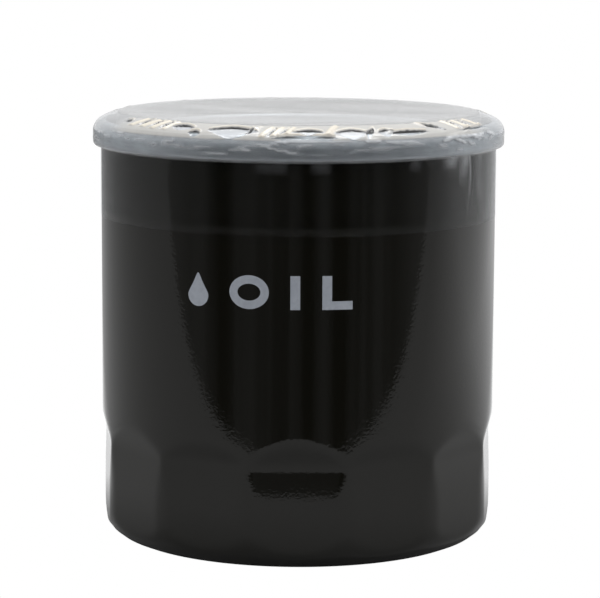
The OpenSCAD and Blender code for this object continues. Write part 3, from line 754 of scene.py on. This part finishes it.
# Wrinkles in the film round the seam: degrees from the front, half length, slant and distance below the
# seam's top
# in mm, half width in mm, height in mm and milkiness, which paints a highlight on each wrinkle.
RIM_WRINKLES = (
    (2, 9.5, 0, 0.5, 0.42, 0.14, 0.75), (-26, 3.0, 0.2, 2.3, 0.22, 0.1, 0.45),
    (25, 5.0, 0.1, 2.4, 0.25, 0.1, 0.4),
    (47, 2.6, -0.2, 0.9, 0.5, 0.24, 1.0), (63, 2.2, 0.2, 0.6, 0.5, 0.2, 1.0),
    (55, 2.4, 0.15, 1.1, 0.28, 0.2, 1.0),
    (-60, 3.4, 0.3, 0.7, 0.5, 0.12, 0.9), (-37, 1.6, -0.2, 1.7, 0.28, 0.16, 0.7),
    (-15, 1.9, 0, 2.7, 0.28, 0.24, 1.0),
    (-8.5, 2.2, 0.5, 2.0, 0.32, 0.22, 0.8), (-5, 2.4, -0.4, 1.4, 0.32, 0.22, 0.9),
    (-3.5, 2.8, 0.5, 2.8, 0.3, 0.2, 0.7),
    (1.5, 1.5, -0.3, 1.9, 0.3, 0.2, 0.8), (0, 4.5, 0, 0.95, 0.4, 0.16, 0.9),
    (10, 3.5, 0, 0.85, 0.35, 0.12, 0.8),
    (20, 1.7, 0, 1.0, 0.5, 0.22, 1.0), (31, 2.2, 0.2, 1.5, 0.35, 0.14, 0.5),
    (45, 2.4, -0.5, 1.3, 0.4, 0.22, 0.9),
    (49, 2.0, 0.6, 1.9, 0.35, 0.22, 0.8), (52, 2.2, -0.6, 0.7, 0.45, 0.24, 1.0),
    (56, 2.0, 0.5, 1.5, 0.35, 0.22, 0.8),
    (60, 1.8, -0.5, 1.0, 0.4, 0.22, 0.9), (54, 1.4, 0.3, 2.6, 0.3, 0.2, 0.7),
    (66, 2.0, 0.4, 1.3, 0.35, 0.2, 0.8),
)

# Places below the seam where the film lifts off the paint, painted a little milky as highlights: degrees, half
# length and distance below the seam in mm.
SKIRT_LIFT_HIGHLIGHTS = ((-9, 2.4, 1.2), (-5, 1.6, 0.7), (6, 2.2, 0.8), (34, 1.6, 1.0))


def film_folds():
    """The front folds, and smaller ones at random round the rest of the film."""
    dice = random.Random(SEED)
    folds = list(FRONT_FOLDS)
    place = 98.0
    while place < 262:
        start = dice.uniform(0.05, 0.5)
        folds.append((place, dice.uniform(0.5, 2.6), dice.uniform(-2.2, 2.2), start,
                      min(1.0, start + dice.uniform(0.3, 0.6)),
                      dice.choice(("gap", "window", "ridge", "ridge"))))
        place += dice.uniform(3, 8)
    return folds


def rim_wrinkles():
    """The wrinkles placed in front, and fine ones at random all round the seam."""
    dice = random.Random(SEED + 1)
    wrinkles = list(RIM_WRINKLES)
    place = -176.0
    while place < 176:
        half = dice.uniform(1.2, 3.4) if abs(place) < 76 else dice.uniform(4, 7)
        wrinkles.append((place, half, dice.uniform(-0.35, 0.35), dice.uniform(0.6, 3.7),
            dice.uniform(0.18, 0.34),
                         dice.uniform(0.05, 0.15), dice.uniform(0.2, 0.6)))
        place += dice.uniform(2.5, 7)
    return wrinkles


def film_angles():
    """Angles round the film, close together at the front where the folds are."""
    fine = np.radians(np.arange(-78, 78, 0.36))
    coarse = np.radians(np.arange(78, 282, 2.4))
    return np.concatenate([fine, coarse]) + FRONT


def film_path():
    """The film's outer face: over the gasket, down to the seam, round it, tucked in and down the wall."""
    under = SEAM_BOTTOM - 0.05 * MM
    shoulder = [(0, FILM_TOP, 0), (EDGE_R, FILM_TOP, 3 * MM), (FILM_R, SEAM_TOP - 0.35 * MM, 2.6 * MM),
                (FILM_R, under, 0.6 * MM), (WALL_R, under - 0.2 * MM, 0.15 * MM), (WALL_R, FILM_LOW, 0)]
    dense = rounded(shoulder, 0.13 * MM)
    kept = []
    for point in dense:
        on_shoulder = point[0] > EDGE_R - 0.4 * MM and point[1] > SEAM_TOP - 0.8 * MM
        near_seam = point[0] > EDGE_R and point[1] > SEAM_BOTTOM - 0.9 * MM
        gap = 0.0 if on_shoulder else (0.26 * MM if near_seam else 1.7 * MM)
        if not kept or point is dense[-1] or np.linalg.norm(point - kept[-1]) >= gap:
            kept.append(point)
    return np.array(kept)


def fold_shoulder(r, t, front_turn, folds):
    """The folds' lift, milkiness and creaminess on one row of the shoulder, at t from gasket to seam. Ridges
    and crests are painted milky cream as highlights, and the film is left clear round gaps and windows as
    painted shadow lines.
    """
    lift = 0.16 * MM * math.sin(math.pi * min(t, 1)) * np.ones(len(front_turn))
    gathered = soft_step((math.radians(70) - np.abs(front_turn)) / math.radians(18))
    milk_and_highlight = 0.1 + (0.08 + 0.36 * gathered) * float(soft_step(t * 8))
    warm = 0.1 + 0.4 * gathered
    for degrees, half, lean, start, end, kind in folds:
        across = (front_turn - math.radians(degrees) + math.pi) % TAU - math.pi
        across = across * r / MM + lean * (t - (start + end) / 2)
        if kind == "ridge":
            inside = np.clip(1 - np.abs(across) / half, 0, 1) * float(start < t < end)
            lift += 0.26 * MM * inside
            # Ridge: milky cream, partly creased film and partly a painted highlight along the ridge.
            milk_and_highlight = np.where(inside > 0, 0.62 + 0.35 * np.minimum(inside * 3, 1), milk_and_highlight)
            warm = np.where(inside > 0, 1.0, warm)
            continue
        height = np.clip(1 - np.abs(across / half) ** 1.5, 0, 1) * (end - start) / 2
        depth = (height - abs(t - (start + end) / 2)) / 0.1
        inside = np.clip(depth, 0, 1)
        crest = np.clip(1 - np.abs(depth + 0.7), 0, 1) * float(t < (start + end) / 2) * (height > 0.02)
        lift += 0.32 * MM * crest - 0.3 * MM * inside
        # Crest above a gap: a painted highlight, milkier and creamier.
        milk_and_highlight += 0.3 * crest
        warm += 0.5 * crest
        taper = height / ((end - start) / 2)
        # Shadow outline: the film is left clear along the fold's edge, so the dark gasket shows through as a
        # painted shadow line.
        shadow_outline = depth < (0.8 if t < (start + end) / 2 else 0.3) * taper
        full = 0.55 if kind == "window" else 0.4 * min(1.0, max(0.0, (t - start) / (end - start) - 0.3))
        fill = np.where(shadow_outline, 0.0, full)
        milk_and_highlight = np.where(depth > 0, fill, milk_and_highlight)
        warm = np.where(depth > 0, 0.0, warm)
    return lift * (0.3 + 0.7 * soft_step(np.cos(front_turn) + 0.6)), milk_and_highlight, warm


def wrinkle_rim(z, front_turn, r, wrinkles):
    """The wrinkles round the seam, on one row of the film: push, and milkiness that paints highlights on the
    wrinkles and along the seam's top and bottom edges.
    """
    ripple = np.sin(front_turn * 23 + z * 4000) * np.sin(front_turn * 11 - z * 2500)
    # Painted highlights: milkier along the seam's bottom edge (low), where the turn would catch the table's
    # light, and towards its rounded top (high), where it would catch the overhead light.
    low = max(0.0, 1 - (z - SEAM_BOTTOM) / (0.7 * MM))
    high = max(0.0, 1 - (SEAM_TOP - z) / (1.8 * MM))
    milk_and_highlight = 0.05 + 0.05 * ripple + 0.46 * high ** 1.5 + 0.2 * low
    push = np.zeros(len(front_turn))
    for degrees, half, slant, below, width, height, highlight_white in wrinkles:
        across = ((front_turn - math.radians(degrees) + math.pi) % TAU - math.pi) * r / MM / half
        away = np.abs((SEAM_TOP - z) / MM - below - slant * across) / width
        line = np.clip(1 - across ** 2, 0, 1) * np.clip(1 - away, 0, 1)
        push += height * MM * line
        # Each wrinkle is painted whiter as its highlight.
        milk_and_highlight += (highlight_white - milk_and_highlight) * np.clip(line * 2, 0, 1)
    return push, milk_and_highlight


def pull_skirt(down, front_turn, r):
    """The tuck and the pull lines under the seam, on one row of the skirt: push, and milkiness that paints
    highlights beside the tuck, on the pull lines and on the lifted places.
    """
    across = (front_turn - TUCK_TURN) * r / MM
    bend = 0.5 * math.sin(6 * down)
    fade = max(0.0, 1 - down)
    fold = np.clip(1 - np.abs(across - bend) / 0.45, 0, 1)
    push = 0.4 * MM * fold * fade ** 0.5
    # Painted highlight: a milky streak beside the tuck's fold.
    milk_and_highlight = 0.35 * np.clip(1 - np.abs(across - bend + 0.8) / 0.4, 0, 1) * fade ** 2
    for place, lean, width, reach, highlight_white in ((-6.4, -0.6, 3.2, 0.2, 0.4), (-2.4, -0.5, 1.9, 0.36, 0.5),
                                             (2.6, 0.6, 2.2, 0.7, 0.1)):
        line = np.clip(1 - np.abs(across - place - lean * down * 3) / width, 0, 1) * max(0.0,
            1 - down / reach)
        push += 0.08 * MM * line
        # Each pull line is painted milky as its highlight.
        milk_and_highlight += highlight_white * line * (0.75 + 0.25 * np.sin(40 * down + 1.1 * across))
    below = down * (SEAM_BOTTOM - FILM_LOW) / MM
    for degrees, half, depth in SKIRT_LIFT_HIGHLIGHTS:
        along = (front_turn - math.radians(degrees)) * r / MM / half
        # The lifted places are painted a little milky as highlights.
        milk_and_highlight += 0.05 * np.clip(1 - along ** 2 - ((below - depth) / 0.7) ** 2, 0, 1)
    return push, milk_and_highlight


def make_film(film):
    """One sheet of film: over the gasket, folded down the shoulder, tight round the seam, down the wall."""
    path = film_path()
    inner_path = beside(path, -FILM_T)
    inner_path[:, 0] = np.maximum(inner_path[:, 0], 0)
    angles = film_angles()
    front_turn = (angles - FRONT + math.pi) % TAU - math.pi
    folds, wrinkles = film_folds(), rim_wrinkles()
    outer, inner, haze_and_highlight, cream, cling = [], [], [], [], []
    for (r, z), (ri, zi) in zip(path, inner_path):
        lift, push = np.zeros(len(angles)), np.zeros(len(angles))
        milk_and_highlight, warm, stuck = np.full(len(angles), 0.1), np.full(len(angles), 0.3), np.zeros(len(angles))
        t = (r - EDGE_R) / (FILM_R - 0.4 * MM - EDGE_R)
        if r < EDGE_R:
            x, y = r * np.cos(angles), r * np.sin(angles)
            inside = max(0.0, 1 - (r / (GASKET_R - 4 * MM)) ** 2)
            wave = np.sin(x * 170 + 2.2 * np.sin(y * 90)) * np.sin(y * 130 + 1.3)
            lift -= 0.45 * MM * inside + 0.14 * MM * (wave + 1) * min(1, r / (8 * MM)) * inside ** 0.3
        elif z > SEAM_TOP - 0.8 * MM:
            lift, milk_and_highlight, warm = fold_shoulder(r, t, front_turn, folds)
            ease = float(np.clip((1.06 - t) / 0.06, 0, 1))
            rim_push, rim_milk_and_highlight = wrinkle_rim(z, front_turn, r, wrinkles)
            lift = lift * ease + rim_push * float(t > 0.8)
            milk_and_highlight = milk_and_highlight * ease + rim_milk_and_highlight * (1 - ease)
            warm *= ease
        elif r > WALL_R + 0.05 * MM:
            push, milk_and_highlight = wrinkle_rim(z, front_turn, r, wrinkles)
            warm *= 0
        else:
            push, milk_and_highlight = pull_skirt((SEAM_BOTTOM - z) / (SEAM_BOTTOM - FILM_LOW), front_turn, r)
            warm, stuck = warm * 0, 1 - np.clip(milk_and_highlight * 6, 0, 1)
        for rows, radius, height in ((outer, r, z), (inner, ri, zi)):
            rows.append(np.stack([(radius + push) * np.cos(angles), (radius + push) * np.sin(angles),
                                  height + lift], axis=1))
        haze_and_highlight.append(milk_and_highlight)
        cream.append(warm)
        cling.append(stuck)
    rows = outer + inner[::-1]
    cap = ring_mesh("shrink_film_cap", rows, film, closed=False)
    for values, name in ((haze_and_highlight, "haze_and_highlight"), (cream, "cream"), (cling, "cling")):
        paint_points(cap, rows, values + values[::-1], name)
    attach(cap, "film")
    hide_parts("film_top", "film_band", "film_skirt")
    return cap


def paint_points(thing, rows, values, name):
    """Stores one value for each point of a ring mesh, in the order that ring_mesh made its points."""
    flat = []
    for row, value in zip(rows, values):
        pole = np.ptp(row, axis=0).max() < 1e-9
        flat.extend(value[:1] if pole else value)
    layer = thing.data.attributes.new(name, "FLOAT", "POINT")
    layer.data.foreach_set("value", np.clip(np.array(flat, np.float32), 0, 1))


# ---------------------------------------------------------------- anti-drain-back valve

def make_drain_valve(rubber):
    """One rubber moulding: the collar that grips the neck, and the cone whose rim closes the inlet holes."""
    low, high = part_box("drain_valve_collar")
    lip_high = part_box("drain_valve_lip")[1]
    collar_r, lip_r = high.x, lip_high.x
    hole_r = THREAD_MINOR + 0.95 * MM
    grip_r = NECK_R + SHEET_GAP
    root_z = high.z - 0.6 * MM
    rim_r = lip_r - 1.9 * MM
    outline = rounded([
        (hole_r, low.z, 0.2 * MM), (collar_r, low.z, 0.4 * MM), (collar_r, root_z - 0.5 * MM, 0.5 * MM),
        (rim_r + 0.4 * MM, lip_high.z - 1.0 * MM, 0.6 * MM), (lip_r, lip_high.z - 0.6 * MM, 0.2 * MM),
        (lip_r, lip_high.z, 0.15 * MM), (rim_r, lip_high.z, 0.3 * MM),
        (collar_r, root_z + 0.6 * MM, 0.5 * MM),
        (collar_r - 0.4 * MM, high.z, 0.3 * MM), (grip_r, high.z, 0.2 * MM),
        (grip_r, low.z + 0.85 * MM, 0.1 * MM),
        (hole_r, low.z + 0.85 * MM, 0.2 * MM)], 0.8 * MM, closed=True)
    valve = ring_mesh("drain_valve_moulded", turned(outline, even_angles(160)), rubber)
    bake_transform(valve)
    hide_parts("drain_valve_collar", "drain_valve_lip")
    return valve


# ---------------------------------------------------------------- element

PLEATS = 48
PAPER_T = 0.5 * MM
WIRE_R = 0.45 * MM          # the bypass spring's wire
COILS = 6.0
RAW_PITCH = 1 * MM          # the pitch it is first coiled at, before its coils are spaced


def size_input(tree, name, value, kind="NodeSocketFloat"):
    """A named size on a node tree."""
    socket = tree.interface.new_socket(name, in_out="INPUT", socket_type=kind)
    socket.default_value = value
    return socket


def one_pleat(material):
    """One fold of the paper, from one inner bend to the next, as a mesh that repeats round the element."""
    low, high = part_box("pleated_media")
    outer_r = high.x
    inner_r = radius_of("centre_tube") + 0.2 * MM
    half_turn = math.pi / PLEATS
    slot = 0.2 * MM
    bend = slot + PAPER_T / 2
    middle = []
    for k in range(-6, 7):                  # outer bend, about the pleat's own line
        a = math.pi / 2 * k / 6
        middle.append((outer_r - PAPER_T / 2 - bend + bend * math.cos(a), bend * math.sin(a)))
    valley = []
    for k in range(0, 5):                   # half of the inner bend, about the line between two pleats
        a = math.pi / 2 * (1 - k / 4)
        across, reach = bend * math.sin(a), inner_r + PAPER_T / 2 + bend - bend * math.cos(a)
        valley.append((reach * math.cos(half_turn) + across * math.sin(half_turn),
                       reach * math.sin(half_turn) - across * math.cos(half_turn)))
    middle = [(x, -y) for x, y in valley[::-1]] + middle + valley
    path = np.array(middle)
    left, right = beside(path, PAPER_T / 2), beside(path, -PAPER_T / 2)
    heights = np.linspace(low.z - 0.6 * MM, high.z + 0.6 * MM, 5)
    vertices, faces = [], []
    count = len(path)
    for z in heights:
        vertices += [(x, y, z) for x, y in left] + [(x, y, z) for x, y in right]
    for k in range(len(heights) - 1):
        a, b = k * 2 * count, (k + 1) * 2 * count
        for i in range(count - 1):
            faces.append((a + i, a + i + 1, b + i + 1, b + i))
            faces.append((a + count + i, b + count + i, b + count + i + 1, a + count + i + 1))
    for i in range(count - 1):
        faces.append((i, count + i, count + i + 1, i + 1))
        top = (len(heights) - 1) * 2 * count
        faces.append((top + i, top + i + 1, top + count + i + 1, top + count + i))
    mesh = bpy.data.meshes.new("one_pleat")
    mesh.from_pydata(vertices, [], faces)
    mesh.materials.append(material)
    thing = bpy.data.objects.new("one_pleat", mesh)
    bpy.context.scene.collection.objects.link(thing)
    return thing


def pleat_tree(material):
    """Geometry Nodes: copies of one pleat round the axis, welded where neighbours meet."""
    tree = bpy.data.node_groups.new("Pleats round the element", "GeometryNodeTree")
    tree.interface.new_socket("Geometry", in_out="OUTPUT", socket_type="NodeSocketGeometry")
    size_input(tree, "Pleats", PLEATS, "NodeSocketInt")
    tree.interface.new_socket("Pleat", in_out="INPUT", socket_type="NodeSocketObject")
    inputs = add_node(tree, "NodeGroupInput")
    points = add_node(tree, "GeometryNodePoints", {"Count": inputs.outputs["Pleats"]})
    index = add_node(tree, "GeometryNodeInputIndex")
    share = add_node(tree, "ShaderNodeMath", {0: index.outputs[0], 1: inputs.outputs["Pleats"]},
        operation="DIVIDE")
    angle = add_node(tree, "ShaderNodeMath", {0: share.outputs[0], 1: TAU}, operation="MULTIPLY")
    turn = add_node(tree, "ShaderNodeCombineXYZ", {"Z": angle.outputs[0]})
    pleat = add_node(tree, "GeometryNodeObjectInfo", {"Object": inputs.outputs["Pleat"]})
    copies = add_node(tree, "GeometryNodeInstanceOnPoints", {
        "Points": points.outputs[0], "Instance": pleat.outputs["Geometry"], "Rotation": turn.outputs[0]})
    real = add_node(tree, "GeometryNodeRealizeInstances", {0: copies.outputs[0]})
    weld = add_node(tree, "GeometryNodeMergeByDistance", {"Geometry": real.outputs[0], "Distance": 0.02 * MM})
    skin = add_node(tree, "GeometryNodeSetMaterial", {"Geometry": weld.outputs[0], "Material": material})
    add_node(tree, "NodeGroupOutput", {0: skin.outputs[0]})
    return tree


def make_media(paper):
    """The pleated paper, with round bends, its ends sunk in the adhesive."""
    pleat = one_pleat(paper)
    media = grown("pleated_paper", pleat_tree(paper), {"Pleats": PLEATS, "Pleat": pleat}, paper)
    bpy.data.objects.remove(pleat)
    cage = bmesh.new()
    cage.from_mesh(media.data)
    bmesh.ops.recalc_face_normals(cage, faces=cage.faces)
    cage.to_mesh(media.data)
    cage.free()
    shade_by_angle(media, 50)
    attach(media, "element")
    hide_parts("pleated_media")
    return media


def coil_tree(material):
    """Geometry Nodes: a round wire swept along a helix."""
    tree = bpy.data.node_groups.new("Coil spring", "GeometryNodeTree")
    tree.interface.new_socket("Geometry", in_out="OUTPUT", socket_type="NodeSocketGeometry")
    for name, value in (("Turns", 4.0), ("Coil radius", 6 * MM), ("Height", 10 * MM),
        ("Wire radius", 0.4 * MM)):
        size_input(tree, name, value)
    inputs = add_node(tree, "NodeGroupInput")
    line = add_node(tree, "GeometryNodeCurveSpiral", {
        "Resolution": 48, "Rotations": inputs.outputs["Turns"], "Start Radius": inputs.outputs["Coil radius"],
        "End Radius": inputs.outputs["Coil radius"], "Height": inputs.outputs["Height"]})
    wire = add_node(tree, "GeometryNodeCurvePrimitiveCircle", {"Resolution": 16,
                                                               "Radius": inputs.outputs["Wire radius"]})
    swept = add_node(tree, "GeometryNodeCurveToMesh", {
        "Curve": line.outputs[0], "Profile Curve": wire.outputs[0], "Fill Caps": True})
    real = add_node(tree, "GeometryNodeRealizeInstances", {0: swept.outputs[0]})
    skin = add_node(tree, "GeometryNodeSetMaterial", {"Geometry": real.outputs[0], "Material": material})
    add_node(tree, "NodeGroupOutput", {0: skin.outputs[0]})
    return tree


def make_bypass_spring(steel):
    """The bypass valve's coil spring, with closed end turns."""
    low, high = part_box("bypass_spring")
    spring = grown("bypass_spring_coil", coil_tree(steel), {
        "Turns": COILS, "Coil radius": high.x - WIRE_R, "Height": COILS * RAW_PITCH, "Wire radius": WIRE_R},
        steel)
    bottom, top = low.z + WIRE_R, high.z - WIRE_R
    closed = WIRE_R * 2.1
    free = (top - bottom - 2 * closed) / (COILS - 2)
    for vertex in spring.data.vertices:
        raw = vertex.co.z
        around = (math.atan2(vertex.co.y, vertex.co.x) % TAU) / TAU
        whole = round(raw / RAW_PITCH - around)
        turn = min(max(whole + around, 0), COILS)
        if turn < 1:
            line = bottom + turn * closed
        elif turn > COILS - 1:
            line = top - (COILS - turn) * closed
        else:
            line = bottom + closed + (turn - 1) * free
        vertex.co.z = line + raw - turn * RAW_PITCH
    spring.data.update()
    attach(spring, "element")
    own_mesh(spring)
    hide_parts("bypass_spring")
    return spring


def make_support_spring(steel):
    """The pressed steel spider under the element."""
    mesh = frame["nodes"]["support_spring"].data.copy()
    cage = bmesh.new()
    cage.from_mesh(mesh)
    bmesh.ops.remove_doubles(cage, verts=cage.verts, dist=1e-6)
    bmesh.ops.recalc_face_normals(cage, faces=cage.faces)
    for face in cage.faces:
        face.smooth = True
    cage.to_mesh(mesh)
    cage.free()
    mesh.materials.clear()
    mesh.materials.append(steel)
    spring = bpy.data.objects.new("support_spring_pressed", mesh)
    bpy.context.scene.collection.objects.link(spring)
    shade_by_angle(spring, 25)
    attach(spring, "can")
    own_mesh(spring)
    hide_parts("support_spring")
    return spring


def dress_cad_nodes(finishes):
    """Gives the carried-over CAD nodes their materials."""
    for node, material in finishes.items():
        thing = frame["nodes"][node]
        thing.data.materials.clear()
        thing.data.materials.append(material)


# ---------------------------------------------------------------- stage, light and camera

def make_stage():
    """A pale table that ends a little in front of the filter, so that the can's gloss shows its edge. It can be
    seen through from underneath, and it is open under the filter, so that end isn't black from below.
    To everything but the camera its top is painted with shade and light: darker in front and to the left,
    lighter to the right and behind, with a lighter patch just behind the filter, which the can's gloss
    reflects."""
    front_edge, level = -137 * MM, -0.02 * MM
    mesh = bpy.data.meshes.new("table")
    mesh.from_pydata([(-1.6, front_edge, level), (1.6, front_edge, level), (1.6, 2.4, level),
        (-1.6, 2.4, level)],
                     [], [(0, 1, 2, 3)])
    material, tree = new_material("pale_table_top")
    seen = add_node(tree, "ShaderNodeLightPath").outputs["Is Camera Ray"]
    where = add_node(tree, "ShaderNodeTexCoord").outputs["Object"]
    split = add_node(tree, "ShaderNodeSeparateXYZ", {0: where})
    # Painted shade and light on the table top, seen only in reflections: darker in front and to the left,
    # lighter to the right and behind.
    right = add_node(tree, "ShaderNodeMapRange",
        {"Value": split.outputs["X"], "From Min": 0.05, "From Max": 0.25})
    back = add_node(tree, "ShaderNodeMapRange",
        {"Value": split.outputs["Y"], "From Min": -0.08, "From Max": 0.12})
    both = add_node(tree, "ShaderNodeMath", {0: right.outputs[0], 1: back.outputs[0]}, operation="MULTIPLY")
    shade = add_node(tree, "ShaderNodeMapRange", {"Value": both.outputs[0], "To Min": 0.36, "To Max": 0.66})
    # A painted pool of light on the table just behind the filter, for the can's outer flats to reflect.
    aside = add_node(tree, "ShaderNodeMath", {0: split.outputs["X"]}, operation="ABSOLUTE")
    narrow = add_node(tree, "ShaderNodeMapRange",
        {"Value": aside.outputs[0], "From Min": 0.11, "From Max": 0.07})
    behind = add_node(tree, "ShaderNodeMapRange",
        {"Value": split.outputs["Y"], "From Min": 0.015, "From Max": 0.05})
    light_patch = add_node(tree, "ShaderNodeMath", {0: narrow.outputs[0], 1: behind.outputs[0]},
        operation="MULTIPLY")
    shade = add_node(tree, "ShaderNodeMix", {0: light_patch.outputs[0], 2: shade.outputs[0], 3: 0.7})
    lit = add_node(tree, "ShaderNodeBsdfDiffuse", {"Color": shade.outputs[0]})
    plain = add_node(tree, "ShaderNodeEmission", {"Color": (1, 1, 1, 1), "Strength": 1.0})
    top = add_node(tree, "ShaderNodeMixShader", {0: seen, 1: lit.outputs[0], 2: plain.outputs[0]})
    below = add_node(tree, "ShaderNodeNewGeometry").outputs["Backfacing"]
    from_axis = add_node(tree, "ShaderNodeVectorMath", {0: where}, operation="LENGTH").outputs["Value"]
    under = add_node(tree, "ShaderNodeMath", {0: from_axis, 1: CAN_R - CORNER_R - 1 * MM},
        operation="LESS_THAN")
    open_to = add_node(tree, "ShaderNodeMath", {0: below, 1: under.outputs[0]}, operation="MAXIMUM")
    through = add_node(tree, "ShaderNodeBsdfTransparent")
    shader = add_node(tree, "ShaderNodeMixShader",
        {0: open_to.outputs[0], 1: top.outputs[0], 2: through.outputs[0]})
    finish_material(material, shader)
    mesh.materials.append(material)
    table = bpy.data.objects.new("table", mesh)
    bpy.context.scene.collection.objects.link(table)


def make_world():
    """Soft studio light: bright behind, beside and above, dim in front where the room is."""
    world = bpy.data.worlds.new("studio")
    world.use_nodes = True
    tree = world.node_tree
    tree.nodes.clear()
    look = add_node(tree, "ShaderNodeTexCoord").outputs["Generated"]
    split = add_node(tree, "ShaderNodeSeparateXYZ", {0: look})
    frontal = add_node(tree, "ShaderNodeMapRange",
        {"Value": split.outputs["Y"], "From Min": -0.02, "From Max": -0.2,
                                                    "To Min": 0.0, "To Max": 1.0},
                                                    interpolation_type="SMOOTHSTEP")
    low = add_node(tree, "ShaderNodeMapRange", {"Value": split.outputs["Z"], "From Min": 0.5, "From Max": 0.1,
                                                "To Min": 0.0, "To Max": 1.0},
                                                interpolation_type="SMOOTHSTEP")
    room = add_node(tree, "ShaderNodeMath", {0: frontal.outputs[0], 1: low.outputs[0]}, operation="MULTIPLY")
    rise = add_node(tree, "ShaderNodeMapRange",
        {"Value": split.outputs["Z"], "From Min": 0.05, "From Max": 0.6,
                                                 "To Min": 1.0, "To Max": 0.8})
    upright = add_node(tree, "ShaderNodeMapping", {"Vector": look, "Scale": (5, 5, 0.3)})
    things = add_node(tree, "ShaderNodeTexNoise", {"Vector": upright.outputs[0], "Scale": 1, "Detail": 2})
    near = add_node(tree, "ShaderNodeMapRange",
        {"Value": things.outputs["Fac"], "From Min": 0.4, "From Max": 0.6,
                                                 "To Min": 0.01, "To Max": 0.13})
    dim = add_node(tree, "ShaderNodeMapRange",
        {"Value": split.outputs["Y"], "From Min": -0.2, "From Max": -0.7,
                                                "To Min": 0.2, "To Max": near.outputs[0]})
    light = add_node(tree, "ShaderNodeMapRange", {"Value": room.outputs[0], "To Min": rise.outputs[0],
                                                  "To Max": dim.outputs[0]})
    around = add_node(tree, "ShaderNodeBackground",
        {"Color": (0.985, 0.99, 1, 1), "Strength": light.outputs[0]})
    plain = add_node(tree, "ShaderNodeBackground", {"Color": (1, 1, 1, 1), "Strength": 1.0})
    seen = add_node(tree, "ShaderNodeLightPath").outputs["Is Camera Ray"]
    both = add_node(tree, "ShaderNodeMixShader", {0: seen, 1: around.outputs[0], 2: plain.outputs[0]})
    add_node(tree, "ShaderNodeOutputWorld", {"Surface": both.outputs[0]})
    bpy.context.scene.world = world


def add_softbox(name, place, aim, width, height, power):
    """A rectangular studio light at a place, turned to face another."""
    lamp = bpy.data.lights.new(name, "AREA")
    lamp.shape = "RECTANGLE"
    lamp.size, lamp.size_y, lamp.energy = width, height, power
    thing = bpy.data.objects.new(name, lamp)
    bpy.context.scene.collection.objects.link(thing)
    away = Vector(place) - Vector(aim)
    thing.matrix_world = Matrix.Translation(place) @ away.to_track_quat("Z", "Y").to_matrix().to_4x4()


def make_camera():
    """A long lens, a little above the filter's top, looking down on it by about eight degrees."""
    data = bpy.data.cameras.new("camera")
    data.sensor_width = 36
    data.lens = 168.8
    data.clip_start, data.clip_end = 0.01, 20
    camera = bpy.data.objects.new("camera", data)
    bpy.context.scene.collection.objects.link(camera)
    down, roll, aside = math.radians(8.29), math.radians(0.27), math.radians(-0.043)
    camera.matrix_world = (Matrix.Translation((0, -541.5 * MM, 124.3 * MM)) @ Matrix.Rotation(aside, 4, "Z")
                           @ Matrix.Rotation(TAU / 4 - down, 4, "X") @ Matrix.Rotation(roll, 4, "Z"))
    bpy.context.scene.camera = camera


# ---------------------------------------------------------------- the filter

make_camera()
make_world()
make_stage()
add_softbox("overhead_softbox", (0.1, 0.15, 0.9), (0, 0, 0.08), 0.7, 0.5, 6)
bpy.context.scene.view_settings.view_transform = "Standard"

lid_metal = plated_sheet()
tinned = stamped_steel("tinned_steel_pressing", "#A9A69C", "#CFCCC2", 0.28, 0.4)
wire = stamped_steel("oil_tempered_spring_steel", "#4E5256", "#787D82", 0.3, 0.42)
valve_rubber = moulded_rubber("nitrile_valve_rubber", "#1E1C1A", 0.5, 0.65)

make_can(powder_coat())
make_mark(print_ink())
make_lid(lid_metal)
make_gasket(moulded_rubber("oiled_nitrile_gasket", "#141415", 0.3, 0.5))
make_plate(stamped_steel("zinc_plated_steel_plate", "#8C8778", "#B9B5A6", 0.3, 0.5))
make_film(shrink_film())
make_drain_valve(valve_rubber)
make_media(filter_paper())
make_bypass_spring(wire)
make_support_spring(wire)
adhesive = set_adhesive("cured_plastisol", "#5A5546")
dress_cad_nodes({
    "seam_sealant": set_adhesive("seam_compound", "#B79F63"), "upper_end_cap": tinned,
    "lower_end_cap": tinned, "centre_tube": tinned, "upper_adhesive": adhesive, "lower_adhesive": adhesive,
    "media_seam_clip": tinned, "bypass_cage": tinned, "bypass_poppet": tinned, "bypass_seal": valve_rubber,
})
